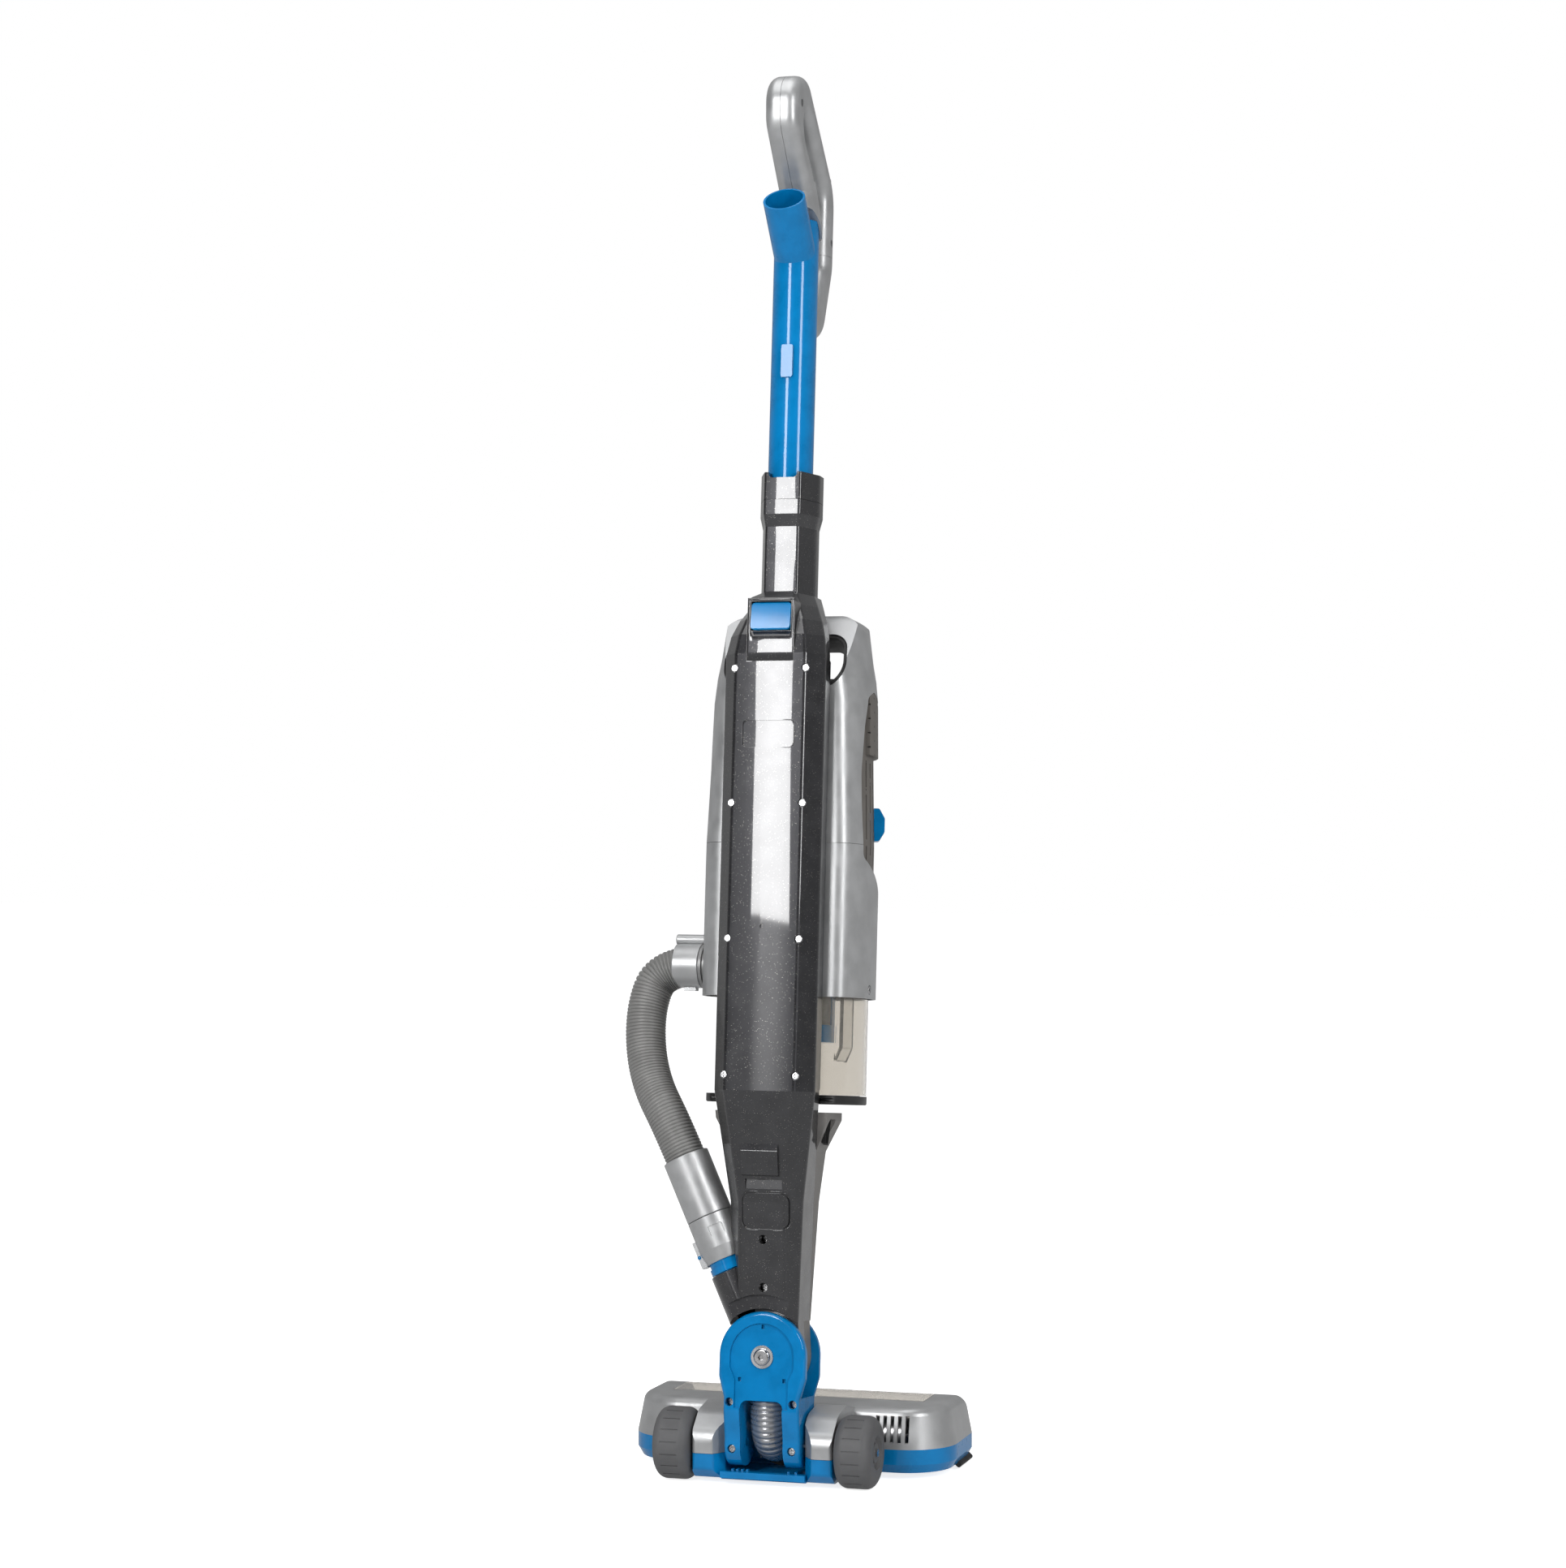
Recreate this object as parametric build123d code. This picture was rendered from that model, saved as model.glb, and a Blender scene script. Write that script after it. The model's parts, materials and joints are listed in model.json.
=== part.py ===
"""Cordless stick vacuum cleaner with a lift-off canister, built as separate pieces.

Units are millimetres, +Z is up, the front of the cleaner faces -Y.
The floor head is drawn with the wheel axle on Y = 0. The body above the tilt pins is drawn upright
in the same frame and is leaned forward by LEAN about the tilt pins when it is written out.
"""
from math import acos, cos, hypot, pi, radians, sin, tan
import os

from build123d import *

os.makedirs("parts", exist_ok=True)

# Overall layout
HEAD_WIDTH = 268.0
HEAD_DEPTH = 180.0
WHEEL_R = 28.5
LEAN = 5.3
TILT_Z = 32.0
AXLE_Y = HEAD_DEPTH / 2 - WHEEL_R

# Clearances and walls
WALL = 2.6
GAP = 0.3
RUN = 0.8
FIT = 0.05

# Floor head
HALF_W = HEAD_WIDTH / 2
HEAD_FRONT = WHEEL_R - HEAD_DEPTH
HEAD_REAR = -40.0
SOLE_Z = 5.0
SEAM_Z = 24.0
DECK_Z = 57.0
DECK_ROUND = 8.0
SIDE_DRAFT = 11.0
REAR_CORNER = 42.0
FRONT_CORNER = 22.0
POD_IN = 32.8
POD_OUT = 57.5
POD_REAR = 19.0
POD_TOP = 60.0
POD_LOW = 4.0
BRUSH_Y = -118.0
BRUSH_Z = 25.0
BRUSH_R = 22.0
BRUSH_CORE_R = 14.0
BRUSH_END = 103.0
CROWN_R = DECK_Z - BRUSH_Z - 1.0
MOUTH_HALF = 24.5
MOUTH_X = 110.0
WINDOW_X = 106.0
WHEEL_X = 74.5
WHEEL_W = 30.0
TREAD_BARS = 18
AXLE_R = 3.0
ROLLER_X = 88.0
ROLLER_Y = -78.0
ROLLER_R = 6.5
MOTOR_Y = -68.0
MOTOR_Z = 31.0
MOTOR_R = 14.5
BELT_X = -111.0
BELT_W = 6.0
BRUSH_PULLEY_R = 9.0
MOTOR_PULLEY_R = 5.0
AIR_Z = 28.0

# Swivel fork
FORK_HALF_X = 31.0
FORK_HALF_Q = 24.0
FORK_ROUND = 3.0
FORK_WINDOW = 17.5
FORK_WINDOW_TOP = 66.0
PIVOT_Z = 100.4
LOBE_R = 35.5
BARREL_R = 29.0
BARREL_HALF = 16.5
CRADLE_Z = 69.0
PIVOT_R = 4.0
TILT_PIN_R = 4.0
AIR_R = 15.0
AIR_PITCH = 3.6

# Spine
SPINE_W = 41.5
SPINE_FLAT = 29.0
SPINE_BACK = 53.0
SPINE_EDGE = 36.5
CROWN = 0.089
SPINE_FRONT = 24.0
SPINE_LOW = 309.0
SPINE_HIGH = 655.0
SCREW_X = 29.3
SCREW_SEAT = SPINE_BACK - 3.4
BUTTON_LOW = 673.0
BUTTON_HIGH = 695.6
BUTTON_W = 16.2
SCREW_LOW = 321.0
SCREW_PITCH = 107.3
WAIST_Z = 222.0
FOOT_Z = 128.0
FOOT_STEP_R = 49.0
NECK_W = 22.5
NECK_DEEP = 20.5
NECK_Z = 706.0
NECK_TOP = 782.0
COLLAR_TOP = 804.0
SHOULDER = ((0.0, 0.0), (0.3, 0.13), (0.55, 0.36), (0.8, 0.7), (1.0, 1.0))
SEAT_TOP = 293.0
SEAT_W = 46.0
SEAT_Q = -46.0

# Wand and handle
WAND_Q = 8.2
WAND_R = 18.2
WAND_WALL = 2.0
WAND_LOW = 692.0
WAND_TOP = 1012.0
PORT_Z = 981.0
PORT_TILT = 43.0
PORT_LEN = 57.0
PORT_R = 17.2
PORT_BORE_R = 15.4
PORT_BORE_LEN = 26.0
HANDLE_T = 14.0
HANDLE_ROUND = 9.0
HANDLE_SEAM = 0.3

# Canister
CAN_Q = -26.0
CAN_R = 70.0
CAN_BACK = 18.5
GRILLE_IN = 4.2
BIN_R = 61.0
BIN_X = -3.2
LID_R = 64.6
LID_LOW = 299.5
LID_T = 7.0
BIN_LOW = LID_LOW + LID_T + 0.6
BIN_TOP = 456.0
SHROUD_LOW = 384.5
SHROUD_TOP = 507.0
DOME_TOP = 693.5
BAND_LOW = 580.0
BAND_REAR = -14.0
GRILLE_LAP = 3.0
GRILLE_ROWS = 28
FILTER_R = 38.5
FILTER_LOW = 349.0
INLET_Z = 409.0
INLET_R = 15.5

# Main hose
HOSE_R = 16.3
HOSE_PITCH = 2.75
HOSE_Q = 10.0
HOSE_LEAN = 25.0
HOSE_TIP = (33.5, HOSE_Q, 172.4)
CUFF_R = 18.7


def lean(shape):
    turned = Rot(X=LEAN) * (Pos(0, 0, -TILT_Z) * shape)
    return Pos(0, AXLE_Y, TILT_Z) * turned


def level(shape):
    return Pos(0, AXLE_Y, 0) * shape


def outline(corners):
    """Closed face through corner points; a third value rounds that corner."""
    count = len(corners)
    starts = []
    ends = []
    edges = []
    for i, corner in enumerate(corners):
        px, py = corner[0], corner[1]
        r = corner[2] if len(corner) > 2 else 0
        if r == 0:
            starts.append((px, py))
            ends.append((px, py))
            continue
        ax, ay = corners[i - 1][0] - px, corners[i - 1][1] - py
        bx, by = corners[(i + 1) % count][0] - px, corners[(i + 1) % count][1] - py
        la, lb = hypot(ax, ay), hypot(bx, by)
        ax, ay, bx, by = ax / la, ay / la, bx / lb, by / lb
        half = acos(max(-1, min(1, ax * bx + ay * by))) / 2
        reach = r / tan(half)
        mx, my = ax + bx, ay + by
        lm = hypot(mx, my)
        mid = r / sin(half) - r
        starts.append((px + ax * reach, py + ay * reach))
        ends.append((px + bx * reach, py + by * reach))
        edges.append(ThreePointArc(starts[-1], (px + mx / lm * mid, py + my / lm * mid), ends[-1]))
    for i in range(count):
        a, b = ends[i - 1], starts[i]
        if hypot(a[0] - b[0], a[1] - b[1]) > 1e-6:
            edges.append(Line(a, b))
    return make_face(edges)


def along_x(face, x0, x1):
    """Face drawn in (Y, Z), pulled from x0 to x1."""
    return extrude(Plane.YZ.offset(x0) * face, amount=x1 - x0)


def along_y(face, y0, y1):
    """Face drawn in (X, Z), pulled from y0 to y1."""
    return extrude(Plane.XZ.offset(-y1) * face, amount=y1 - y0)


def along_z(face, z0, z1):
    """Face drawn in (X, Y), pulled from z0 to z1."""
    return extrude(Plane.XY.offset(z0) * face, amount=z1 - z0)


def block(x0, x1, y0, y1, z0, z1):
    return Pos((x0 + x1) / 2, (y0 + y1) / 2, (z0 + z1) / 2) * Box(x1 - x0, y1 - y0, z1 - z0)


def rod(a, b, r, r2=None):
    """Round bar or cone from point a to point b."""
    a, b = Vector(*a), Vector(*b)
    d = b - a
    lift = Align.MIN
    if r2 is None:
        body = Cylinder(r, d.length, align=(Align.CENTER, Align.CENTER, lift))
    else:
        body = Cone(r, r2, d.length, align=(Align.CENTER, Align.CENTER, lift))
    return Plane(origin=a, z_dir=d) * body


def mirrored(shape):
    return mirror(shape, about=Plane.YZ)


def union(shapes):
    first = shapes[0]
    return first.fuse(*shapes[1:])


def ruled(sections):
    """Ruled solid through (z, face) sections drawn in (X, Y)."""
    return loft([Plane.XY.offset(z) * face for z, face in sections], ruled=True)


def ribbed_tube(path, r, pitch, depth, wall):
    """Corrugated tube along a path, four rings to a rib."""
    length = path.length
    ribs = int(length / pitch)
    step = length / ribs
    rings = []
    for i in range(ribs):
        for share, ring_r in ((0.0, r - depth), (0.22, r), (0.56, r), (0.78, r - depth)):
            s = (i + share) * step / length
            at = path.position_at(s)
            way = path.tangent_at(s)
            rings.append(Plane(origin=at, x_dir=(1, 0, 0) if abs(way.X) < 0.95 else (0, 0, 1), z_dir=way)
                         * Circle(ring_r))
    end = path.tangent_at(1)
    rings.append(Plane(origin=path.position_at(1), x_dir=(1, 0, 0) if abs(end.X) < 0.95 else (0, 0, 1),
                       z_dir=end) * Circle(r - depth))
    solid = loft(rings, ruled=True)
    start = Plane(origin=path.position_at(0), z_dir=path.tangent_at(0))
    bore = sweep(start * Circle(r - depth - wall), path=path)
    return solid - bore


def screw(head_at, way, head_r, head_t, shank_r, length):
    """Pan-head screw with a cross slot; way points out of the head."""
    head = Plane(origin=head_at, z_dir=way) * Cylinder(
        head_r, head_t, align=(Align.CENTER, Align.CENTER, Align.MIN))
    head = fillet(head.edges().sort_by(Axis(head_at, way))[-1:], head_t * 0.45)
    slot = Plane(origin=head_at, z_dir=way) * (
        Pos(0, 0, head_t) * (Box(head_r * 1.1, head_r * 0.28, head_t)
                             + Box(head_r * 0.28, head_r * 1.1, head_t)))
    shank = Plane(origin=head_at, z_dir=way) * Cylinder(
        shank_r, length, align=(Align.CENTER, Align.CENTER, Align.MAX))
    return head - slot + shank


level_nodes = {}
lean_nodes = {}

# Floor head: plan and crown shared by the two shells


def head_plan(inset):
    w = HALF_W - inset
    return outline([
        (-w, HEAD_FRONT + inset, FRONT_CORNER - inset), (w, HEAD_FRONT + inset, FRONT_CORNER - inset),
        (w, HEAD_REAR - inset, REAR_CORNER - inset), (-w, HEAD_REAR - inset, REAR_CORNER - inset)])


def head_dome(inset):
    walls = extrude(Plane.XY.offset(SEAM_Z) * head_plan(inset), amount=DECK_Z - SEAM_Z, taper=SIDE_DRAFT)
    crown = Pos(BRUSH_Y, BRUSH_Z) * Circle(CROWN_R - inset)
    crown += outline([(BRUSH_Y, SEAM_Z - 1), (HEAD_REAR + 5, SEAM_Z - 1), (HEAD_REAR + 5, DECK_Z - 1 - inset),
                      (BRUSH_Y, DECK_Z - 1 - inset)])
    crown += outline([(HEAD_FRONT - 5, SEAM_Z - 1), (BRUSH_Y, SEAM_Z - 1), (BRUSH_Y, BRUSH_Z + 12),
                      (HEAD_FRONT + 8, BRUSH_Z + 12), (HEAD_FRONT - 5, BRUSH_Z + 4)])
    dome = walls & along_x(crown, -HALF_W - 1, HALF_W + 1)
    rim = [e for e in dome.edges() if e.center().Z > BRUSH_Z + 20
           and not (abs(e.center().X) < 1 and abs(e.center().Y - BRUSH_Y) < 2)]
    return fillet(rim, DECK_ROUND - inset)


def pod_plan(side):
    pts = [(POD_IN, HEAD_REAR - 12), (POD_OUT, HEAD_REAR - 12), (POD_OUT, POD_REAR, 3),
           (POD_IN + 8, POD_REAR, 2),
           (POD_IN, POD_REAR - 11, 3)]
    return outline([(side * p[0],) + p[1:] for p in pts])


def pod(side, profile):
    return along_x(outline(profile), -POD_OUT - 1, POD_OUT + 1) & along_z(pod_plan(side), 0, POD_TOP + 5)


pod_upper = [(HEAD_REAR - 12, SEAM_Z + GAP), (HEAD_REAR - 12, DECK_Z - 3), (-26, POD_TOP, 10),
             (0, POD_TOP - 4, 18), (POD_REAR, 40, 16), (POD_REAR, SEAM_Z + GAP)]
pod_lower = [(HEAD_REAR - 8, POD_LOW), (HEAD_REAR - 8, SEAM_Z), (POD_REAR, SEAM_Z),
             (POD_REAR, POD_LOW + 8, 5),
             (POD_REAR - 9, POD_LOW, 5)]

air_hole = rod((0, HEAD_REAR - 30, AIR_Z), (0, HEAD_REAR + 6, AIR_Z), AIR_R + 3.2 + GAP)
pod_axles = union([rod((s * (POD_OUT - 10), 0, WHEEL_R), (s * 90, 0, WHEEL_R), AXLE_R) for s in (-1, 1)])
pod_tilts = union([rod((s * (POD_IN - 9), 0, TILT_Z), (s * (POD_IN + 9), 0, TILT_Z), TILT_PIN_R)
                   for s in (-1, 1)])

dome = head_dome(0)
dome_inner = head_dome(WALL) + along_z(head_plan(WALL), SEAM_Z - 2, SEAM_Z + 1)
shell = dome - dome_inner
window_box = block(-WINDOW_X, WINDOW_X, BRUSH_Y - 24, BRUSH_Y + 36, BRUSH_Z + 14, DECK_Z + 5)
window = shell & block(-WINDOW_X + GAP, WINDOW_X - GAP, BRUSH_Y - 24 + GAP, BRUSH_Y + 36 - GAP,
                       BRUSH_Z + 14 + GAP, DECK_Z + 5)
upper = shell - window_box
for side in (-1, 1):
    upper = upper + pod(side, pod_upper)
upper = upper - along_z(head_plan(WALL), SEAM_Z - 2, SEAM_Z + 1) - air_hole - pod_axles - pod_tilts
vents = [block(x - 1.5, x + 1.5, HEAD_REAR - 16, HEAD_REAR + 1, 29, 50) for x in (-78, -84, -90, -96, -102)]
upper = upper - vents
level_nodes["head_upper_shell"] = upper
level_nodes["brush_window"] = window

base_edge = 4.0
base = ruled([(SOLE_Z, head_plan(base_edge)), (SOLE_Z + base_edge + 3, head_plan(0))])
base = base + along_z(head_plan(0), SOLE_Z + base_edge + 3, SEAM_Z)
base = base - along_z(head_plan(base_edge + WALL), SOLE_Z + WALL, SEAM_Z + 1)
base = base - along_z(head_plan(WALL), SOLE_Z + base_edge + 6, SEAM_Z + 1)
for side in (-1, 1):
    base = base + pod(side, pod_lower)
base = base - along_z(head_plan(base_edge + WALL), SOLE_Z + WALL, SEAM_Z + 1)
base = base + block(-POD_IN - 2, POD_IN + 2, HEAD_REAR - 2, POD_REAR - 6, POD_LOW, POD_LOW + 3.5)
base = base + block(-POD_IN - 2, POD_IN + 2, POD_REAR - 8, POD_REAR - 2, POD_LOW + 1.5, POD_LOW + 6.5)
for x in (-26, -20, 14, 18, 22, 26):
    base = base + block(x - 0.9, x + 0.9, POD_REAR - 11, POD_REAR - 7.5, POD_LOW + 3, POD_LOW + 8)
base = base - block(-MOUTH_X, MOUTH_X, BRUSH_Y - MOUTH_HALF, BRUSH_Y + MOUTH_HALF, 0, SEAM_Z + 1)
for side in (-1, 1):
    x = side * ROLLER_X
    base = base + block(x - 11, x + 11, ROLLER_Y - 6, ROLLER_Y + 6, SOLE_Z + 1, SOLE_Z + 9)
    base = base - block(x - 7, x + 7, ROLLER_Y - 8, ROLLER_Y + 8, 0, SEAM_Z)
    base = base - rod((x - 20, ROLLER_Y, ROLLER_R), (x + 20, ROLLER_Y, ROLLER_R), 1.5)
base = base - air_hole - pod_axles - pod_tilts
for x in (-118, -66, 60, 104):
    base = base - block(x - 3.5, x + 3.5, HEAD_REAR - 6, HEAD_REAR + 2, 0, SOLE_Z + 2.4)
level_nodes["head_base"] = base

roller_pins = [rod((s * ROLLER_X - 10.5, ROLLER_Y, ROLLER_R), (s * ROLLER_X + 10.5, ROLLER_Y, ROLLER_R), 1.5)
               for s in (-1, 1)]
level_nodes["head_pins"] = pod_axles.fuse(pod_tilts, *roller_pins)

# Rear wheels and front rollers


def wheel(side):
    x0, x1 = WHEEL_X - WHEEL_W / 2, WHEEL_X + WHEEL_W / 2
    body = rod((x0, 0, WHEEL_R), (x1, 0, WHEEL_R), WHEEL_R)
    body = fillet(body.edges().filter_by(GeomType.CIRCLE), 8)
    body = body - rod((x1 - 3, 0, WHEEL_R), (x1 + 1, 0, WHEEL_R), 11, 14)
    body = body - rod((x0 - 1, 0, WHEEL_R), (x1 + 1, 0, WHEEL_R), AXLE_R + FIT)
    groove = block(WHEEL_X - 7, WHEEL_X + 7, -0.5, 0.5, 2 * WHEEL_R - 0.5, 2 * WHEEL_R + 2)
    bars = []
    for i in range(TREAD_BARS):
        bars.append(Pos(0, 0, WHEEL_R) * (Rot(X=i * 360 / TREAD_BARS) * (Pos(0, 0, -WHEEL_R) * groove)))
    body = body - bars
    hub_cap = rod((x1 - 3.5, 0, WHEEL_R), (x1 - 1, 0, WHEEL_R), 8)
    hub_cap = fillet(hub_cap.edges().sort_by(Axis.X)[-1:], 1)
    body = body + (hub_cap - rod((x0, 0, WHEEL_R), (x1 + 1, 0, WHEEL_R), AXLE_R + FIT))
    return body if side > 0 else mirrored(body)


level_nodes["wheel_left"] = wheel(1)
level_nodes["wheel_right"] = wheel(-1)
for side, name in ((1, "roller_left"), (-1, "roller_right")):
    x = side * ROLLER_X
    body = rod((x - 5.5, ROLLER_Y, ROLLER_R), (x + 5.5, ROLLER_Y, ROLLER_R), ROLLER_R)
    body = fillet(body.edges(), 1.2)
    level_nodes[name] = body - rod((x - 7, ROLLER_Y, ROLLER_R), (x + 7, ROLLER_Y, ROLLER_R), 1.5 + FIT)

# Brush roll, drive and airway of the head

shaft_r = 3.5
core = rod((-BRUSH_END, BRUSH_Y, BRUSH_Z), (BRUSH_END, BRUSH_Y, BRUSH_Z), BRUSH_CORE_R)
core = core + rod((-BRUSH_END - 17, BRUSH_Y, BRUSH_Z), (BRUSH_END + 12, BRUSH_Y, BRUSH_Z), shaft_r)
core = core + rod((BELT_X - BELT_W / 2, BRUSH_Y, BRUSH_Z), (BELT_X + BELT_W / 2, BRUSH_Y, BRUSH_Z),
                  BRUSH_PULLEY_R)
level_nodes["brush_core"] = core

sleeve_r = BRUSH_CORE_R + 1.2
sleeve = rod((-BRUSH_END + 2, 0, 0), (BRUSH_END - 2, 0, 0), sleeve_r)
sleeve = sleeve - rod((-BRUSH_END, 0, 0), (BRUSH_END, 0, 0), BRUSH_CORE_R + 0.2)
strand = Pos(0, 0, (sleeve_r - 0.6 + BRUSH_R) / 2) * Box(1.3, 1.3, BRUSH_R - sleeve_r + 0.6)
strands = []
per_row = 76
for row in range(4):
    for i in range(per_row):
        x = -BRUSH_END + 6 + i * (2 * BRUSH_END - 12) / (per_row - 1)
        turn = row * 90 + 130 * abs(i / (per_row - 1) - 0.5) * 2
        strands.append(Pos(x, 0, 0) * (Rot(X=turn) * strand))
level_nodes["brush_bristles"] = Pos(0, BRUSH_Y, BRUSH_Z) * sleeve.fuse(*strands)

bearings = []
for x0, x1 in ((-BRUSH_END - 17, -BRUSH_END - 13), (BRUSH_END + 6, BRUSH_END + 11)):
    ring = block(x0, x1, BRUSH_Y - 9, BRUSH_Y + 9, BRUSH_Z - 9, BRUSH_Z + 14)
    bearings.append(ring - rod((x0 - 1, BRUSH_Y, BRUSH_Z), (x1 + 1, BRUSH_Y, BRUSH_Z), shaft_r + FIT))
level_nodes["brush_bearings"] = bearings[0].fuse(bearings[1])

motor = rod((-98, MOTOR_Y, MOTOR_Z), (-36, MOTOR_Y, MOTOR_Z), MOTOR_R)
motor = fillet(motor.edges(), 2) + rod((-100, MOTOR_Y, MOTOR_Z), (-97, MOTOR_Y, MOTOR_Z), 6)
motor = motor - rod((-101, MOTOR_Y, MOTOR_Z), (-80, MOTOR_Y, MOTOR_Z), 2 + FIT)
motor = motor + block(-70, -44, MOTOR_Y - 9, MOTOR_Y + 9, SOLE_Z + WALL + GAP, MOTOR_Z - 8)
level_nodes["brush_motor"] = motor
pinion = rod((BELT_X - BELT_W / 2, MOTOR_Y, MOTOR_Z), (BELT_X + BELT_W / 2, MOTOR_Y, MOTOR_Z), MOTOR_PULLEY_R)
level_nodes["motor_pulley"] = pinion + rod((BELT_X, MOTOR_Y, MOTOR_Z), (-82, MOTOR_Y, MOTOR_Z), 2)


def belt_face(extra):
    rounds = (Pos(BRUSH_Y, BRUSH_Z) * Circle(BRUSH_PULLEY_R + extra)).edges()
    rounds += (Pos(MOTOR_Y, MOTOR_Z) * Circle(MOTOR_PULLEY_R + extra)).edges()
    return make_hull(rounds)


level_nodes["drive_belt"] = along_x(belt_face(GAP + 1.4) - belt_face(GAP), BELT_X - BELT_W / 2 + 0.5,
                                    BELT_X + BELT_W / 2 - 0.5)

spigot_r = AIR_R + 3.2
spigot = rod((0, HEAD_REAR - 24, AIR_Z), (0, HEAD_REAR + 2.5, AIR_Z), spigot_r)
spigot = spigot + rod((0, HEAD_REAR + GAP, AIR_Z), (0, HEAD_REAR + 3, AIR_Z), spigot_r + 2.2)
level_nodes["airway_spigot"] = spigot - rod((0, HEAD_REAR - 40, AIR_Z), (0, HEAD_REAR + 10, AIR_Z),
                                            AIR_R + 0.5)

strip_y = BRUSH_Y + MOUTH_HALF + 5
level_nodes["sole_felt"] = block(-98, 98, strip_y - 2.5, strip_y + 2.5, SOLE_Z - 3, SOLE_Z - 0.05)
flaps = []
for side in (-1, 1):
    flap = outline([(0, -2), (9, -2, 1.9), (9, 2, 1.9), (0, 2)])
    flap = extrude(Plane(origin=(side * (HALF_W - 8), BRUSH_Y, SOLE_Z + 3.2),
                         x_dir=(side * cos(radians(42)), 0,
                                                                                     -sin(radians(42))),
                         z_dir=(0, 1, 0)) * flap, amount=20, both=True)
    flaps.append(flap)
level_nodes["edge_flaps"] = flaps[0].fuse(flaps[1])
level_nodes["head_base"] = level_nodes["head_base"] - flaps

head_screw_at = [(s * x, y) for s in (-1, 1) for x, y in ((118, -84), (30, -66))]
level_nodes["sole_screws"] = union([screw((x, y, SOLE_Z + 1.4), (0, 0, -1), 3.2, 1.3, 1.5, 12)
                                    for x, y in head_screw_at])
for x, y in head_screw_at:
    level_nodes["head_base"] = (level_nodes["head_base"] + rod((x, y, SOLE_Z + 0.5), (x, y, SEAM_Z - 6), 4.2)
                                - rod((x, y, SOLE_Z - 1), (x, y, SOLE_Z + 1.4), 3.4)
                                - rod((x, y, SOLE_Z), (x, y, SOLE_Z + 13.6), 1.5))

# Swivel fork

fork_side = outline([(-FORK_HALF_Q, PIVOT_Z + 40), (-FORK_HALF_Q, 56, 20), (-19, 36, 20), (-19, 13.5, 17),
                     (19, 13.5, 17), (19, 36, 20), (FORK_HALF_Q, 56, 20), (FORK_HALF_Q, PIVOT_Z + 40)])
fork_front = Pos(0, PIVOT_Z) * Circle(LOBE_R)
fork_front += outline([(-FORK_HALF_X, 10), (FORK_HALF_X, 10), (FORK_HALF_X, 68, 12), (LOBE_R, 84, 12),
                       (LOBE_R, PIVOT_Z), (-LOBE_R, PIVOT_Z), (-LOBE_R, 84, 12), (-FORK_HALF_X, 68, 12)])
fork = along_y(fork_front, -FORK_HALF_Q, FORK_HALF_Q) & along_x(fork_side, -LOBE_R - 1, LOBE_R + 1)
rims = [e for e in fork.edges() if e.center().Y > 15
        and (abs(e.center().X) > 5 or e.geom_type == GeomType.CIRCLE)]
fork = fillet(rims, FORK_ROUND)
fork = fork - block(-60, 60, -BARREL_HALF - RUN, BARREL_HALF + RUN, CRADLE_Z, PIVOT_Z + 60)
passage = outline([(-FORK_WINDOW, 0), (FORK_WINDOW, 0), (FORK_WINDOW, FORK_WINDOW_TOP, 6),
                   (-FORK_WINDOW, FORK_WINDOW_TOP, 6)])
fork = fork - along_y(passage, -40, 40) - rod((0, 0, 50), (0, 0, CRADLE_Z + 2), AIR_R - 3)
fork = fork - rod((0, -40, PIVOT_Z), (0, 40, PIVOT_Z), PIVOT_R + FIT)
fork = fork - rod((-60, 0, TILT_Z), (60, 0, TILT_Z), TILT_PIN_R + FIT)
recess = Pos(0, PIVOT_Z) * Circle(26.3)
recess += outline([(-22, 60), (22, 60), (22, 82, 6), (26.3, 92, 6), (26.3, PIVOT_Z), (-26.3, PIVOT_Z),
                   (-26.3, 92, 6), (-22, 82, 6)])
fork = fork - along_y(recess, FORK_HALF_Q - 1.6, FORK_HALF_Q + 5)
for x, z in ((0, PIVOT_Z + 23.5), (18.2, 82.4), (-18.2, 82.4)):
    fork = fork - block(x - 1.3, x + 1.3, FORK_HALF_Q - 4, FORK_HALF_Q + 1, z - 1.6, z + 1.6)
fork_screw_at = [(-26, 64.4), (26, 64.4), (-24.5, 27.5), (24.5, 27.5)]
FORK_SEAM = BARREL_HALF + RUN - 3.0
FORK_SCREW_Q = FORK_SEAM + 0.8
for x, z in fork_screw_at:
    fork = fork - rod((x, FORK_SCREW_Q, z), (x, 40, z), 3.4)
    fork = fork - rod((x, FORK_SEAM - 11, z), (x, 40, z), 1.4)
rear_side = block(-60, 60, FORK_SEAM + 0.1, 60, 0, 200)
lean_nodes["fork_rear_cover"] = fork & rear_side
lean_nodes["fork_body"] = fork & block(-60, 60, -60, FORK_SEAM - 0.1, 0, 200)
lean_nodes["fork_screws"] = union([screw((x, FORK_SCREW_Q, z), (0, 1, 0), 3.1, 1.6, 1.4, 11)
                                   for x, z in fork_screw_at])

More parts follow.
